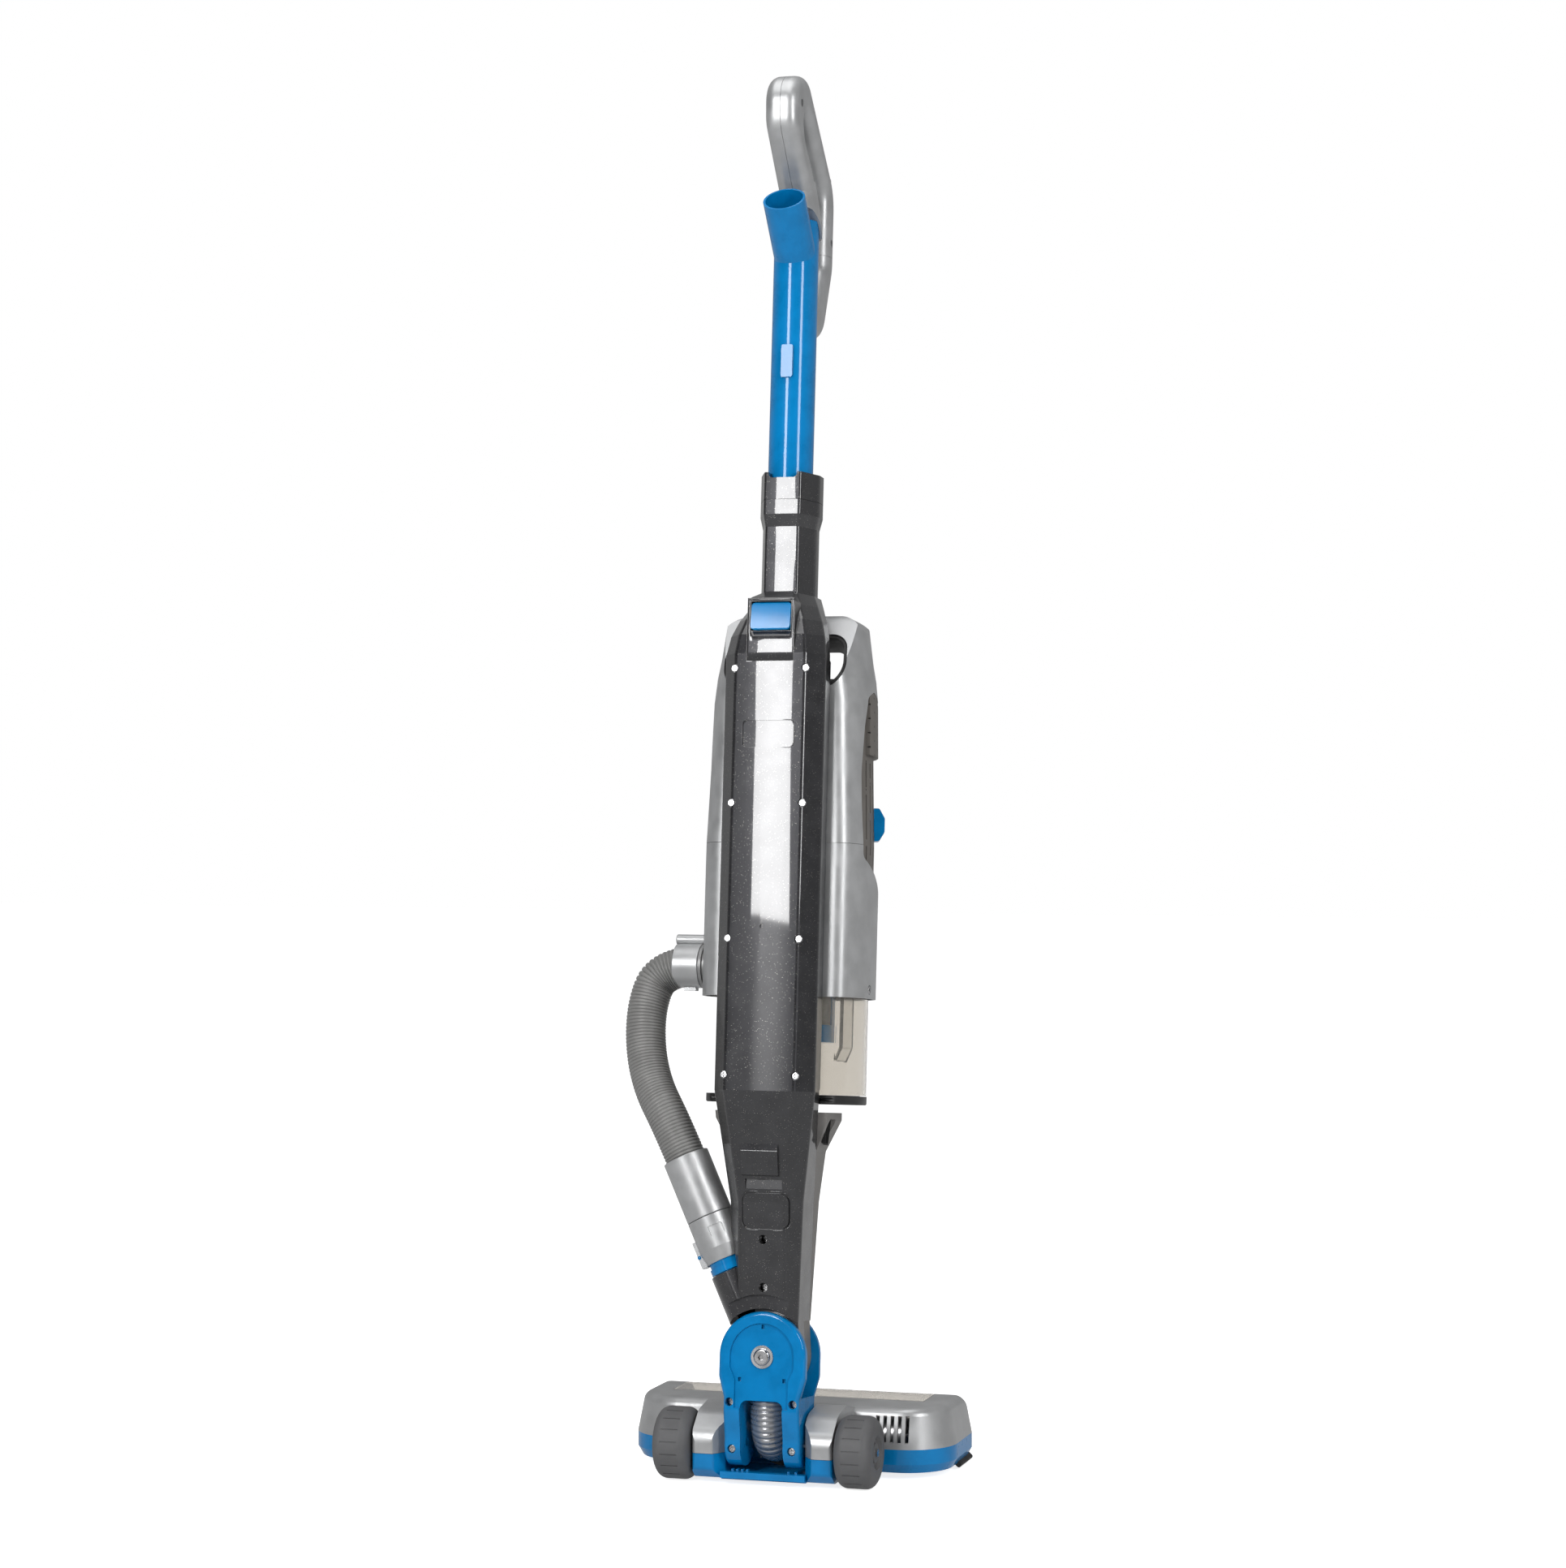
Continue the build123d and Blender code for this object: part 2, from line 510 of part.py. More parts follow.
bolt = rod((0, -FORK_HALF_Q + 1, PIVOT_Z), (0, FORK_HALF_Q - 1.6, PIVOT_Z), PIVOT_R)
bolt = bolt + rod((0, FORK_HALF_Q - 1.6, PIVOT_Z), (0, FORK_HALF_Q - 0.4, PIVOT_Z), 9)
bolt_head = rod((0, FORK_HALF_Q - 0.4, PIVOT_Z), (0, FORK_HALF_Q + 2.2, PIVOT_Z), 6.6)
bolt_head = fillet(bolt_head.edges().sort_by(Axis.Y)[-1:], 1.6)
hexagon = along_y(Pos(0, PIVOT_Z) * RegularPolygon(2.6, 6), FORK_HALF_Q, FORK_HALF_Q + 5)
lean_nodes["swivel_bolt"] = bolt + bolt_head - hexagon

throat = Vector(0, -(FORK_WINDOW_TOP - 0.4 - TILT_Z) * sin(radians(LEAN)),
                TILT_Z + (FORK_WINDOW_TOP - 0.4 - TILT_Z) * cos(radians(LEAN)))
elbow = Vector(0, (TILT_Z - AIR_Z) * tan(radians(LEAN)), AIR_Z)
air_path = FilletPolyline(throat, elbow, Vector(0, HEAD_REAR - 20, AIR_Z), radius=22)
level_nodes["airway_hose"] = ribbed_tube(air_path, AIR_R, AIR_PITCH, 1.6, 1.2)

# Spine: dark rear shell, front panel and silver foot


SPINE_SECTION = (SPINE_W, SPINE_FLAT, SPINE_BACK, SPINE_EDGE, SPINE_FRONT)
WAIST_SECTION = (30.0, 19.0, 36.0, 22.0, -9.0)
FOOT_SECTION = (26.9, 19.0, 26.1, 17.0, -15.2)
NECK_SECTION = (NECK_W, 14.0, WAND_Q + NECK_DEEP, WAND_Q - 1.0, WAND_Q - NECK_DEEP)
FLARE_SECTION = (NECK_W + 2.2, 15.2, WAND_Q + NECK_DEEP + 2.2, WAND_Q, WAND_Q - NECK_DEEP - 2.2)


def spine_face(section, t=0.0, front_out=0.0, r=5.0, side_r=5.0, front_r=0.0):
    """Spine section in (X, Y), drawn t inside its skin: crowned back, slanted sides, flat front."""
    w, flat, back, edge, front = section
    w, flat, back, edge, front = w - t, flat - t * 0.55, back - t, edge - t * 0.2, front - front_out
    reach = 0.85 * flat
    lift = CROWN * reach / 2
    drop = CROWN * flat - lift
    return outline([(-w, front, front_r), (w, front, front_r), (w, edge, side_r), (flat, back - drop, r),
                    (0, back + lift, reach / CROWN), (-flat, back - drop, r), (-w, edge, side_r)])


def between(a, b, share):
    return tuple(p + (q - p) * share for p, q in zip(a, b))


def spine_solid(t, front_out):
    """Rear shell drawn t inside its skin; front_out moves the open side forward."""
    body = ruled([(SPINE_LOW, spine_face(SPINE_SECTION, t, front_out)),
                  (SPINE_HIGH, spine_face(SPINE_SECTION, t, front_out))])
    taper = ruled([(FOOT_Z + t, spine_face(FOOT_SECTION, t, front_out)),
                   (WAIST_Z, spine_face(WAIST_SECTION, t, front_out)),
                   (SPINE_LOW, spine_face(SPINE_SECTION, t, front_out))])
    rise = NECK_Z - t - SPINE_HIGH
    steps = [(SPINE_HIGH + rise * up,
              spine_face(between(SPINE_SECTION, NECK_SECTION, share), t, front_out, 5 - 2.4 * share))
             for up, share in SHOULDER]
    return union([body, taper, ruled(steps)])


spine = spine_solid(0, 0)
neck_face = spine_face(NECK_SECTION, r=2.6, side_r=14, front_r=12)
neck_flare = spine_face(FLARE_SECTION, r=2.6, side_r=14, front_r=13)
neck = ruled([(NECK_Z - 0.5, neck_face), (NECK_TOP - 22, neck_face), (NECK_TOP - 12, neck_flare),
              (NECK_TOP - GAP, neck_flare)])
hump_w = BUTTON_W + 3.3
hump = along_x(outline([(20, 648), (SPINE_BACK - 0.4, 648), (SPINE_BACK - 0.4, BUTTON_HIGH + 3.5, 4),
                        (WAND_Q + NECK_DEEP - 0.4, BUTTON_HIGH + 12), (20, BUTTON_HIGH + 12)]),
               -hump_w, hump_w)
hump = hump & along_y(outline([(-hump_w, 640), (hump_w, 640), (hump_w, BUTTON_HIGH, 8),
                               (11, BUTTON_HIGH + 13, 8),
                               (-11, BUTTON_HIGH + 13, 8), (-hump_w, BUTTON_HIGH, 8)]), 10, 60)
spine = union([spine, neck, hump])

tip = Vector(*HOSE_TIP)
hose_way = Vector(sin(radians(HOSE_LEAN)), 0, cos(radians(HOSE_LEAN)))


def on_hose(t):
    p = tip + hose_way * t
    return (p.X, p.Y, p.Z)


duct_low = (2, 0, PIVOT_Z)
duct_mid = on_hose(-36)
socket_skin = rod(on_hose(-46), on_hose(-7), 17.4)
barrel_face = Pos(0, PIVOT_Z) * Circle(BARREL_R)
barrel_face += outline([(-BARREL_R, PIVOT_Z), (BARREL_R, PIVOT_Z), (26.5, FOOT_Z + 6), (-26.5, FOOT_Z + 6)])
relief = union([rod((0, s * BARREL_HALF, PIVOT_Z), (0, s * 60, PIVOT_Z), LOBE_R + 2.5) for s in (-1, 1)])
foot_step = rod((0, 24.6, PIVOT_Z), (0, 60, PIVOT_Z), FOOT_STEP_R)
scallop = rod(on_hose(-7), on_hose(62), CUFF_R + 0.9)
wand_bore = rod((0, WAND_Q, WAND_LOW - 1.5), (0, WAND_Q, COLLAR_TOP + 5), WAND_R + FIT)
duct = union([rod(duct_low, duct_mid, 11), Pos(*duct_mid) * Sphere(11),
              rod((0, 0, PIVOT_Z - 40), duct_low, 11),
              Pos(*duct_low) * Sphere(11), rod(duct_mid, on_hose(0), 14.4)])
pivot_hole = rod((0, -60, PIVOT_Z), (0, 60, PIVOT_Z), PIVOT_R + FIT)

rear_barrel = along_y(barrel_face, 0.1, BARREL_HALF)
spine = union([spine, rear_barrel, socket_skin - block(-80, 80, -60, 0.1, 60, 400)])
cavity = spine_solid(WALL, 8) & block(-60, 60, -60, 60, 232, 672)
spine = spine - cavity - relief - foot_step - scallop - wand_bore - duct - pivot_hole
screw_levels = [SCREW_LOW + SCREW_PITCH * i for i in range(4)]
skin = spine_solid(0, 0)
posts = [rod((s * SCREW_X, SPINE_FRONT + GAP, z), (s * SCREW_X, SPINE_BACK, z), 4.6) & skin
         for s in (-1, 1) for z in screw_levels]
spine = spine.fuse(*posts)
for s in (-1, 1):
    for z in screw_levels:
        spine = spine - rod((s * SCREW_X, SCREW_SEAT, z), (s * SCREW_X, SPINE_BACK + 5, z), 3.3)
        spine = spine - rod((s * SCREW_X, SCREW_SEAT - 14.8, z), (s * SCREW_X, SPINE_BACK + 5, z), 1.5)

BADGE_W, BADGE_H, BADGE_Z = 42.0, 21.0, 590.5
badge_place = along_y(Pos(0, BADGE_Z) * RectangleRounded(BADGE_W, BADGE_H, 4), 40, 60)
dock_line = along_y(Pos(-3, 215) * (RectangleRounded(38, 29, 7) - RectangleRounded(36.4, 27.4, 6.2)), 20, 60)
spine = spine - ((badge_place + dock_line) - spine_solid(0.8, 0))
button_pocket = block(-BUTTON_W - 0.6, BUTTON_W + 0.6, 36, 60, BUTTON_LOW - 0.6, BUTTON_HIGH + 0.6)
spine = spine - button_pocket
spine = spine - rod((0, SPINE_BACK - 1.2, 438), (0, SPINE_BACK + 2, 438), 2.2)
hook = along_x(outline([(30, 240), (43.0, 243, 1), (47.2, 262, 1), (44.5, 268), (30, 268)]), -15, 15)
spine = spine + (hook - spine_solid(WALL / 2, 0))
spine = spine - along_y(Pos(-2, 236) * Rectangle(30, 7.6), 36.8, 60)
foot_screws = [(-1, 192.6), (-1, 155.0)]
for x, z in foot_screws:
    spine = spine - rod((x, 20, z), (x, 60, z), 3.6) - rod((x, 4, z), (x, 60, z), 1.5)
lean_nodes["spine_rear_shell"] = spine

lean_nodes["spine_screws"] = union(
    [screw((s * SCREW_X, SCREW_SEAT, z), (0, 1, 0), 3.05, 1.7, 1.5, 14) for s in (-1, 1)
     for z in screw_levels]
    + [screw((x, 20, z), (0, 1, 0), 3.2, 1.5, 1.5, 15) for x, z in foot_screws])

panel_face = (Pos(0, (SPINE_LOW + SPINE_HIGH) / 2 - 1)
              * RectangleRounded(2 * SPINE_W, SPINE_HIGH - SPINE_LOW - 2, 3))
panel = along_y(panel_face, SPINE_FRONT - WALL, SPINE_FRONT - GAP)
lean_nodes["spine_front_panel"] = panel

collar = ruled([(NECK_TOP, neck_flare), (COLLAR_TOP, neck_flare)]) - wand_bore
notch = along_y(outline([(-11, COLLAR_TOP - 4.5, 3), (11, COLLAR_TOP - 4.5, 3), (13, COLLAR_TOP + 5),
                         (-13, COLLAR_TOP + 5)]), WAND_Q + 5, 60)
lean_nodes["neck_collar"] = collar - notch

button_face = along_x(outline([(43, BUTTON_LOW), (SPINE_BACK + 2.4, BUTTON_LOW, 1.5),
                               (SPINE_BACK - 1.2, BUTTON_HIGH, 2.5),
                               (43, BUTTON_HIGH)]), -BUTTON_W, BUTTON_W)
button_mid = (BUTTON_LOW + BUTTON_HIGH) / 2
button_face = button_face & along_y(
    Pos(0, button_mid) * RectangleRounded(2 * BUTTON_W, BUTTON_HIGH - BUTTON_LOW, 3.5), 30, 60)
lean_nodes["release_button"] = button_face
coil = Helix(pitch=1.6, height=5.6, radius=3.2, center=(0, 36.9, button_mid), direction=(0, 1, 0))
coil_start = coil.position_at(0)
lean_nodes["button_spring"] = sweep(Plane(origin=coil_start, z_dir=coil.tangent_at(0)) * Circle(0.35),
                                    path=coil)

# Silver front shell of the foot with the canister seat


def foot_face(w, back, front, r=8.0):
    return outline([(-w, front, r), (w, front, r), (w, back), (-w, back)])


foot = ruled([(FOOT_Z, foot_face(26.9, -15.2 - GAP, -26)), (WAIST_Z, foot_face(30, -9 - GAP, -31)),
              (262, foot_face(35, 6.2 - GAP, -30))])
seat = ruled([(262, foot_face(35, 6.2 - GAP, -30)), (SEAT_TOP - 6, foot_face(SEAT_W, 15.6 - GAP, SEAT_Q, 20)),
              (SEAT_TOP, foot_face(SEAT_W, 17.9 - GAP, SEAT_Q, 20))])
dish = ruled([(SEAT_TOP - 8, foot_face(SEAT_W - 12, 8, SEAT_Q + 12, 12)),
              (SEAT_TOP + 1, foot_face(SEAT_W - 5, 10, SEAT_Q + 5, 16))])
post = rod((0, CAN_Q + 6, SEAT_TOP - 12), (0, CAN_Q + 6, LID_LOW - GAP), 13)
front_barrel = along_y(barrel_face, -BARREL_HALF, -0.1)
hollow = ruled([(FOOT_Z + 32, foot_face(23.5, -10, -23.5, 6)), (WAIST_Z, foot_face(26, -5, -27.5, 6)),
                (258, foot_face(30, 12, -26.5, 6))])
inner_wall = spine_solid(0, GAP)
foot = union([foot, seat - dish, post, front_barrel]) - relief - scallop - duct - pivot_hole
foot = foot - (hollow - rod((-1, 0, 155), (-1, -40, 155), 5) - rod((-1, 0, 192.6), (-1, -40, 192.6), 5))
for x, z in foot_screws:
    foot = foot - rod((x, -24, z), (x, 20, z), 1.5)
foot = foot - inner_wall
teardrop = outline([(-12, SEAT_TOP - 5, 3), (8, SEAT_TOP - 5, 3), (4, 268, 3), (-4, 266, 3)])
foot = foot - along_x(teardrop, -60, -38.5)
lean_nodes["spine_front_shell"] = foot

# Hose ends at the foot

tip_body = rod(on_hose(-30), on_hose(-6), 14.0) + rod(on_hose(-6), on_hose(-1), 16.2)
tip_body = tip_body + rod(on_hose(-1), on_hose(6), 15.0)
lean_nodes["hose_tip"] = tip_body - rod(on_hose(-60), on_hose(20), 11.8)
cuff_low = rod(on_hose(3.5), on_hose(14), 16.4, CUFF_R) + rod(on_hose(14), on_hose(39.4), CUFF_R)
cuff_low = cuff_low - rod(on_hose(0), on_hose(7), 15.0 + 0.15) - rod(on_hose(0), on_hose(60), 13.5)
cuff_plane = Plane(origin=on_hose(27), x_dir=(cos(radians(HOSE_LEAN)), 0, -sin(radians(HOSE_LEAN))),
                   z_dir=(0, 1, 0))
cuff_low = cuff_low - extrude(cuff_plane * (Pos(-6, 0) * RectangleRounded(11, 8, 1)), amount=40, taper=0) + \
    (rod(on_hose(14), on_hose(39.4), CUFF_R - 0.8) - rod(on_hose(0), on_hose(60), 13.5))
catch = Plane(origin=on_hose(14), z_dir=hose_way) * (Pos(CUFF_R - 0.6, 0, 0) * Box(5, 12, 22))
lean_nodes["hose_lower_cuff"] = cuff_low + (catch - rod(on_hose(-20), on_hose(60), 15.6))
cuff_top = rod(on_hose(39.8), on_hose(91), CUFF_R)
cuff_top = fillet(cuff_top.edges().filter_by(GeomType.CIRCLE), 0.8)
lean_nodes["hose_upper_cuff"] = (cuff_top - rod(on_hose(50), on_hose(100), HOSE_R + 0.4)
                                 - rod(on_hose(30), on_hose(60), 13.5))

hose_points = [(CAN_R + 4.5, CAN_Q, INLET_Z), (108.5, CAN_Q, INLET_Z), (120.0, -18.0, 371.0),
               (111.5, -7.0, 318.0),
               on_hose(112), on_hose(52)]


def hose_radii(points):
    radii = []
    for a, b, c in zip(points, points[1:], points[2:]):
        u, v = Vector(*b) - Vector(*a), Vector(*c) - Vector(*b)
        turn = radians(u.get_angle(v))
        radii.append(0.45 * min(u.length, v.length) / tan(turn / 2))
    return radii


hose_path = FilletPolyline(*[Vector(*p) for p in hose_points], radius=hose_radii(hose_points))
main_hose = ribbed_tube(hose_path, HOSE_R, HOSE_PITCH, 1.5, 1.2)
lean_nodes["main_hose"] = main_hose
print("hose bend radii", [round(r, 1) for r in hose_radii(hose_points)], "length", round(hose_path.length, 1))
print("hose volume", round(main_hose.volume), "mean wall section x length",
      round(pi * ((HOSE_R - 0.72) ** 2 - (HOSE_R - 2.7) ** 2) * hose_path.length))

# Canister


def can_face(r, back, corner, x=0.0):
    face = Pos(x, CAN_Q) * Circle(r) - Pos(0, back + 60) * Rectangle(300, 120)
    return fillet(face.vertices(), corner)


def front_part(q):
    return block(-150, 150, -200, q, 0, 1200)


HINGE_Q = CAN_BACK - 3.5
HINGE_Z = LID_LOW + LID_T - 3.2
lid = along_z(can_face(LID_R, HINGE_Q + 1, 12), LID_LOW, LID_LOW + LID_T)
lid = fillet(lid.edges().group_by(Axis.Z)[0], 1.5)
lid_ring = can_face(BIN_R - 5, CAN_BACK - 8, 8, BIN_X) - can_face(BIN_R - 7.5, CAN_BACK - 10.5, 8, BIN_X)
lid_ring = along_z(lid_ring, LID_LOW + LID_T, LID_LOW + LID_T + 0.4)
lid = lid - block(-40, 40, HINGE_Q - 5, 60, LID_LOW - 1, LID_LOW + 30)
lid_knuckle = rod((-10, HINGE_Q, HINGE_Z), (10, HINGE_Q, HINGE_Z), 3.1)
lid_knuckle = lid_knuckle + block(-10, 10, HINGE_Q - 6, HINGE_Q, LID_LOW + 1.2, LID_LOW + LID_T - 1)
lid = lid + lid_knuckle - rod((-60, HINGE_Q, HINGE_Z), (60, HINGE_Q, HINGE_Z), 1.5 + FIT) + lid_ring
lean_nodes["bin_lid"] = lid

bin_skin = along_z(can_face(BIN_R, CAN_BACK - 1.5, 12, BIN_X), BIN_LOW, BIN_TOP)
bin_skin = bin_skin - along_z(can_face(BIN_R - 2.2, CAN_BACK - 3.7, 10, BIN_X), BIN_LOW - 1, BIN_TOP - 2.4)
bin_skin = bin_skin - rod((40, CAN_Q, INLET_Z), (90, CAN_Q, INLET_Z), INLET_R + 0.6)
bin_skin = bin_skin - rod((0, CAN_Q, BIN_TOP - 10), (0, CAN_Q, BIN_TOP + 5), FILTER_R + 1)
for side in (-1, 1):
    lug = along_x(outline([(HINGE_Q - 3, HINGE_Z - 3), (HINGE_Q + 3, HINGE_Z - 3, 2.8),
                           (HINGE_Q + 3, BIN_LOW + 8),
                           (HINGE_Q - 3, BIN_LOW + 3), (HINGE_Q - 3, HINGE_Z - 3.01)]), 10.4, 16)
    bin_skin = bin_skin + (lug if side > 0 else mirrored(lug))
bin_skin = bin_skin - rod((-60, HINGE_Q, HINGE_Z), (60, HINGE_Q, HINGE_Z), 1.5)
lean_nodes["dust_bin"] = bin_skin
lean_nodes["lid_hinge_pin"] = rod((-16, HINGE_Q, HINGE_Z), (16, HINGE_Q, HINGE_Z), 1.5)

cage = rod((0, CAN_Q, FILTER_LOW), (0, CAN_Q, BIN_TOP - 3), FILTER_R)
cage = cage - rod((0, CAN_Q, FILTER_LOW + 3), (0, CAN_Q, BIN_TOP + 20), FILTER_R - 2)
for i in range(8):
    slot = block(FILTER_R - 8, FILTER_R + 8, -11, 11, FILTER_LOW + 14, BIN_TOP - 14)
    cage = cage - Pos(0, CAN_Q, 0) * (Rot(Z=i * 45 + 22.5) * slot)
cage = cage + (rod((0, CAN_Q, BIN_TOP + GAP), (0, CAN_Q, BIN_TOP + 3), FILTER_R + 4)
               + rod((0, CAN_Q, BIN_TOP - 6), (0, CAN_Q, BIN_TOP + 3), FILTER_R)
               - rod((0, CAN_Q, FILTER_LOW + 3), (0, CAN_Q, BIN_TOP + 20), FILTER_R - 2))
lean_nodes["filter_cage"] = cage

pleats = 28
star = []
for i in range(pleats):
    for share, r in ((0.0, FILTER_R - 3.0), (0.5, FILTER_R - 9.0)):
        a = 2 * pi * (i + share) / pleats
        star.append((r * cos(a), CAN_Q + r * sin(a)))
media = along_z(outline(star), FILTER_LOW + 3.2, BIN_TOP - 1)
media = media - rod((0, CAN_Q, FILTER_LOW + 8), (0, CAN_Q, BIN_TOP), FILTER_R - 11)
lean_nodes["filter_media"] = media

chute = outline([(-58, SHROUD_LOW + 60), (-47, SHROUD_LOW + 60), (-47, 345, 2), (-43, 336), (-45, 334),
                 (-50, 345, 2),
                 (-50, SHROUD_LOW + 50), (-58, SHROUD_LOW + 50)])
lean_nodes["dust_baffle"] = along_y(chute, CAN_Q - 14, CAN_Q + 16)



def can_dome(grow):
    """Canister skin above the dust bin, moved outward by grow: tapered sides, domed top, flat back."""
    levels = ((450, CAN_R), (SHROUD_TOP, CAN_R), (568, CAN_R - 2), (621, CAN_R - 3.4), (641, CAN_R - 5.5),
              (656, CAN_R - 8.3), (DOME_TOP + 12, CAN_R - 15))
    body = ruled([(z, can_face(r + grow, CAN_BACK + grow, 14 + grow)) for z, r in levels])
    side = outline([(-120, 440), (CAN_BACK + grow + 3, 440), (CAN_BACK + grow + 3, 634, 30 + grow),
                    (-13 + grow, DOME_TOP + grow, 12 + grow), (-46 - grow, DOME_TOP + grow, 16 + grow),
                    (-54 - grow, 640 + grow, 10 - grow), (-98 - grow, 630 + grow, 8 + grow), (-120, 600)])
    brow = outline([(-90, 440), (90, 440), (75 + grow, 600), (57 + grow, DOME_TOP + grow, 26 + grow),
                    (-57 - grow, DOME_TOP + grow, 26 + grow), (-75 - grow, 600)])
    return body & along_x(side, -100, 100) & along_y(brow, -150, 60)


def hand_hole(grow):
    """Opening under the carrying handle, wider at the rear, grown by grow."""
    rear = outline([(-55 - grow, 628 - grow, 25 + grow), (55 + grow, 628 - grow, 25 + grow),
                    (55 + grow, 680.7 + grow, 14 + grow), (-55 - grow, 680.7 + grow, 14 + grow)])
    front = outline([(-35 - grow, 646 - grow, 11 + grow), (35 + grow, 646 - grow, 11 + grow),
                     (35 + grow, 668 + grow, 9 + grow), (-35 - grow, 668 + grow, 9 + grow)])
    return loft([Plane.XZ.offset(-28) * rear, Plane.XZ.offset(62) * front], ruled=True)


def grille_zone(lap):
    """Front part of the canister that the grille fills, with lap added round its edge."""
    edge = outline([(-130, 468 - lap), (-45, 468 - lap, 20), (-20 + lap, 486 - lap, 16),
                    (-2.4 + lap, 497 - lap, 6),
                    (-0.3 + lap, 540, 40), (-0.3 + lap, 565, 40), (-5 + lap, 602, 60),
                    (-11 + lap, 626 + lap, 8),
                    (-24, 632 + lap, 8), (-40, 626 + lap, 10), (-130, 616 + lap)])
    return along_x(edge, -120, 120)


shroud = along_z(can_face(CAN_R, CAN_BACK, 14), SHROUD_LOW, SHROUD_TOP - GAP)
shroud = shroud - along_z(can_face(CAN_R - WALL, CAN_BACK - WALL + 1.8, 12), SHROUD_LOW - 1, SHROUD_TOP + 1)
shroud = shroud - grille_zone(0)
shroud = shroud - rod((40, CAN_Q, INLET_Z), (90, CAN_Q, INLET_Z), INLET_R + 0.6)
shroud_screw_at = (-CAN_R + 2.2, -17.0, 391.5)
sx, sq, sz = shroud_screw_at
screw_boss = rod((sx + 2.4, sq, sz), (sx, sq, sz), 5)
shroud = shroud + (screw_boss & along_z(can_face(CAN_R - 1, CAN_BACK - 1, 12), SHROUD_LOW, SHROUD_TOP))
shroud = shroud - rod((sx, sq, sz), (sx - 10, sq, sz), 3.7) - rod((sx + 10, sq, sz), (sx - 10, sq, sz), 1.5)
lean_nodes["canister_shroud"] = shroud

dome_zone = block(-120, 120, -150, 80, SHROUD_TOP, DOME_TOP + 20)
housing = ((can_dome(0) & dome_zone) - (can_dome(-WALL) - hand_hole(GAP + WALL))
           - hand_hole(GAP) - grille_zone(0))
lean_nodes["canister_housing"] = housing
lean_nodes["grip_liner"] = (hand_hole(0) - hand_hole(-2.4)) & can_dome(-1.2)

grille = (can_dome(-GRILLE_IN) - can_dome(-GRILLE_IN - WALL)) & grille_zone(GRILLE_LAP - 1) - front_part(-118)
slots = []
for i in range(GRILLE_ROWS):
    turn = -108 + i * 216 / (GRILLE_ROWS - 1)
    for z0, z1 in (((492, 506), (512, 548), (554, 574)) if i % 2 else ((500, 528), (534, 556), (562, 574))):
        bar = block(-0.9, 0.9, -CAN_R - 8, -CAN_R + 14, z0, z1)
        slots.append(Pos(0, CAN_Q, 0) * (Rot(Z=turn) * bar))
grille = grille - slots
band = ((can_dome(-0.3) - can_dome(-GRILLE_IN)) & grille_zone(-GAP)
        & block(-120, 120, -150, BAND_REAR, BAND_LOW, 660))
lean_nodes["front_band"] = band

knob_profile = outline([(-3.5, 512), (4.2, 512.5, 2), (8.6, 520, 3), (8.6, 531, 3), (4.0, 539, 2),
                        (-3.5, 539)])
knob_dir = Vector(-cos(radians(16.5)), -sin(radians(16.5)), 0)
knob_root = Vector(0, CAN_Q, 0) + knob_dir * (CAN_R - GRILLE_IN - 0.6)
knob_plane = Plane(origin=knob_root, x_dir=knob_dir, z_dir=knob_dir.cross(Vector(0, 0, 1)))
switch = extrude(knob_plane * knob_profile, amount=7, both=True) - can_dome(GAP - GRILLE_IN)
stem_face = outline([(-7, 521), (2, 521), (2, 530), (-7, 530)])
switch = switch + extrude(knob_plane * stem_face, amount=3, both=True)
lean_nodes["power_slider"] = switch
slot_face = outline([(-12, 520.4), (6, 520.4), (6, 538.6), (-12, 538.6)])
lean_nodes["exhaust_grille"] = grille - extrude(knob_plane * slot_face, amount=3.6, both=True)

MOTOR_LOW = 514.0
fan_motor = rod((0, CAN_Q, MOTOR_LOW), (0, CAN_Q, 570), 33)
fan_motor = (fillet(fan_motor.edges().filter_by(GeomType.CIRCLE), 4)
             + rod((0, CAN_Q, 569), (0, CAN_Q, 574), 14))
lean_nodes["fan_motor"] = fan_motor - rod((0, CAN_Q, MOTOR_LOW - 1), (0, CAN_Q, 540), 3 + FIT)
volute = (rod((0, CAN_Q, 464), (0, CAN_Q, MOTOR_LOW - GAP), 40)
          - rod((0, CAN_Q, 469), (0, CAN_Q, MOTOR_LOW + 1), 38))
volute = volute + along_z(can_face(CAN_R - WALL - 0.4, CAN_BACK - WALL + 1.2, 11), 461, 465)
lean_nodes["fan_volute"] = volute - rod((0, CAN_Q, 450), (0, CAN_Q, 475), 16)
hub = rod((0, CAN_Q, 476), (0, CAN_Q, 480), 35) + rod((0, CAN_Q, 478), (0, CAN_Q, 538), 3)
hub = hub + rod((0, CAN_Q, 478), (0, CAN_Q, 502), 9)
blades = []
for i in range(9):
    blade = Pos(0, CAN_Q, 0) * (Rot(Z=i * 40) * (Pos(20, 0, 490) * (Rot(Z=28) * Box(28, 1.4, 20.5))))
    blades.append(blade)
lean_nodes["impeller"] = hub.fuse(*blades) - rod((0, CAN_Q, 470), (0, CAN_Q, 474), 2)

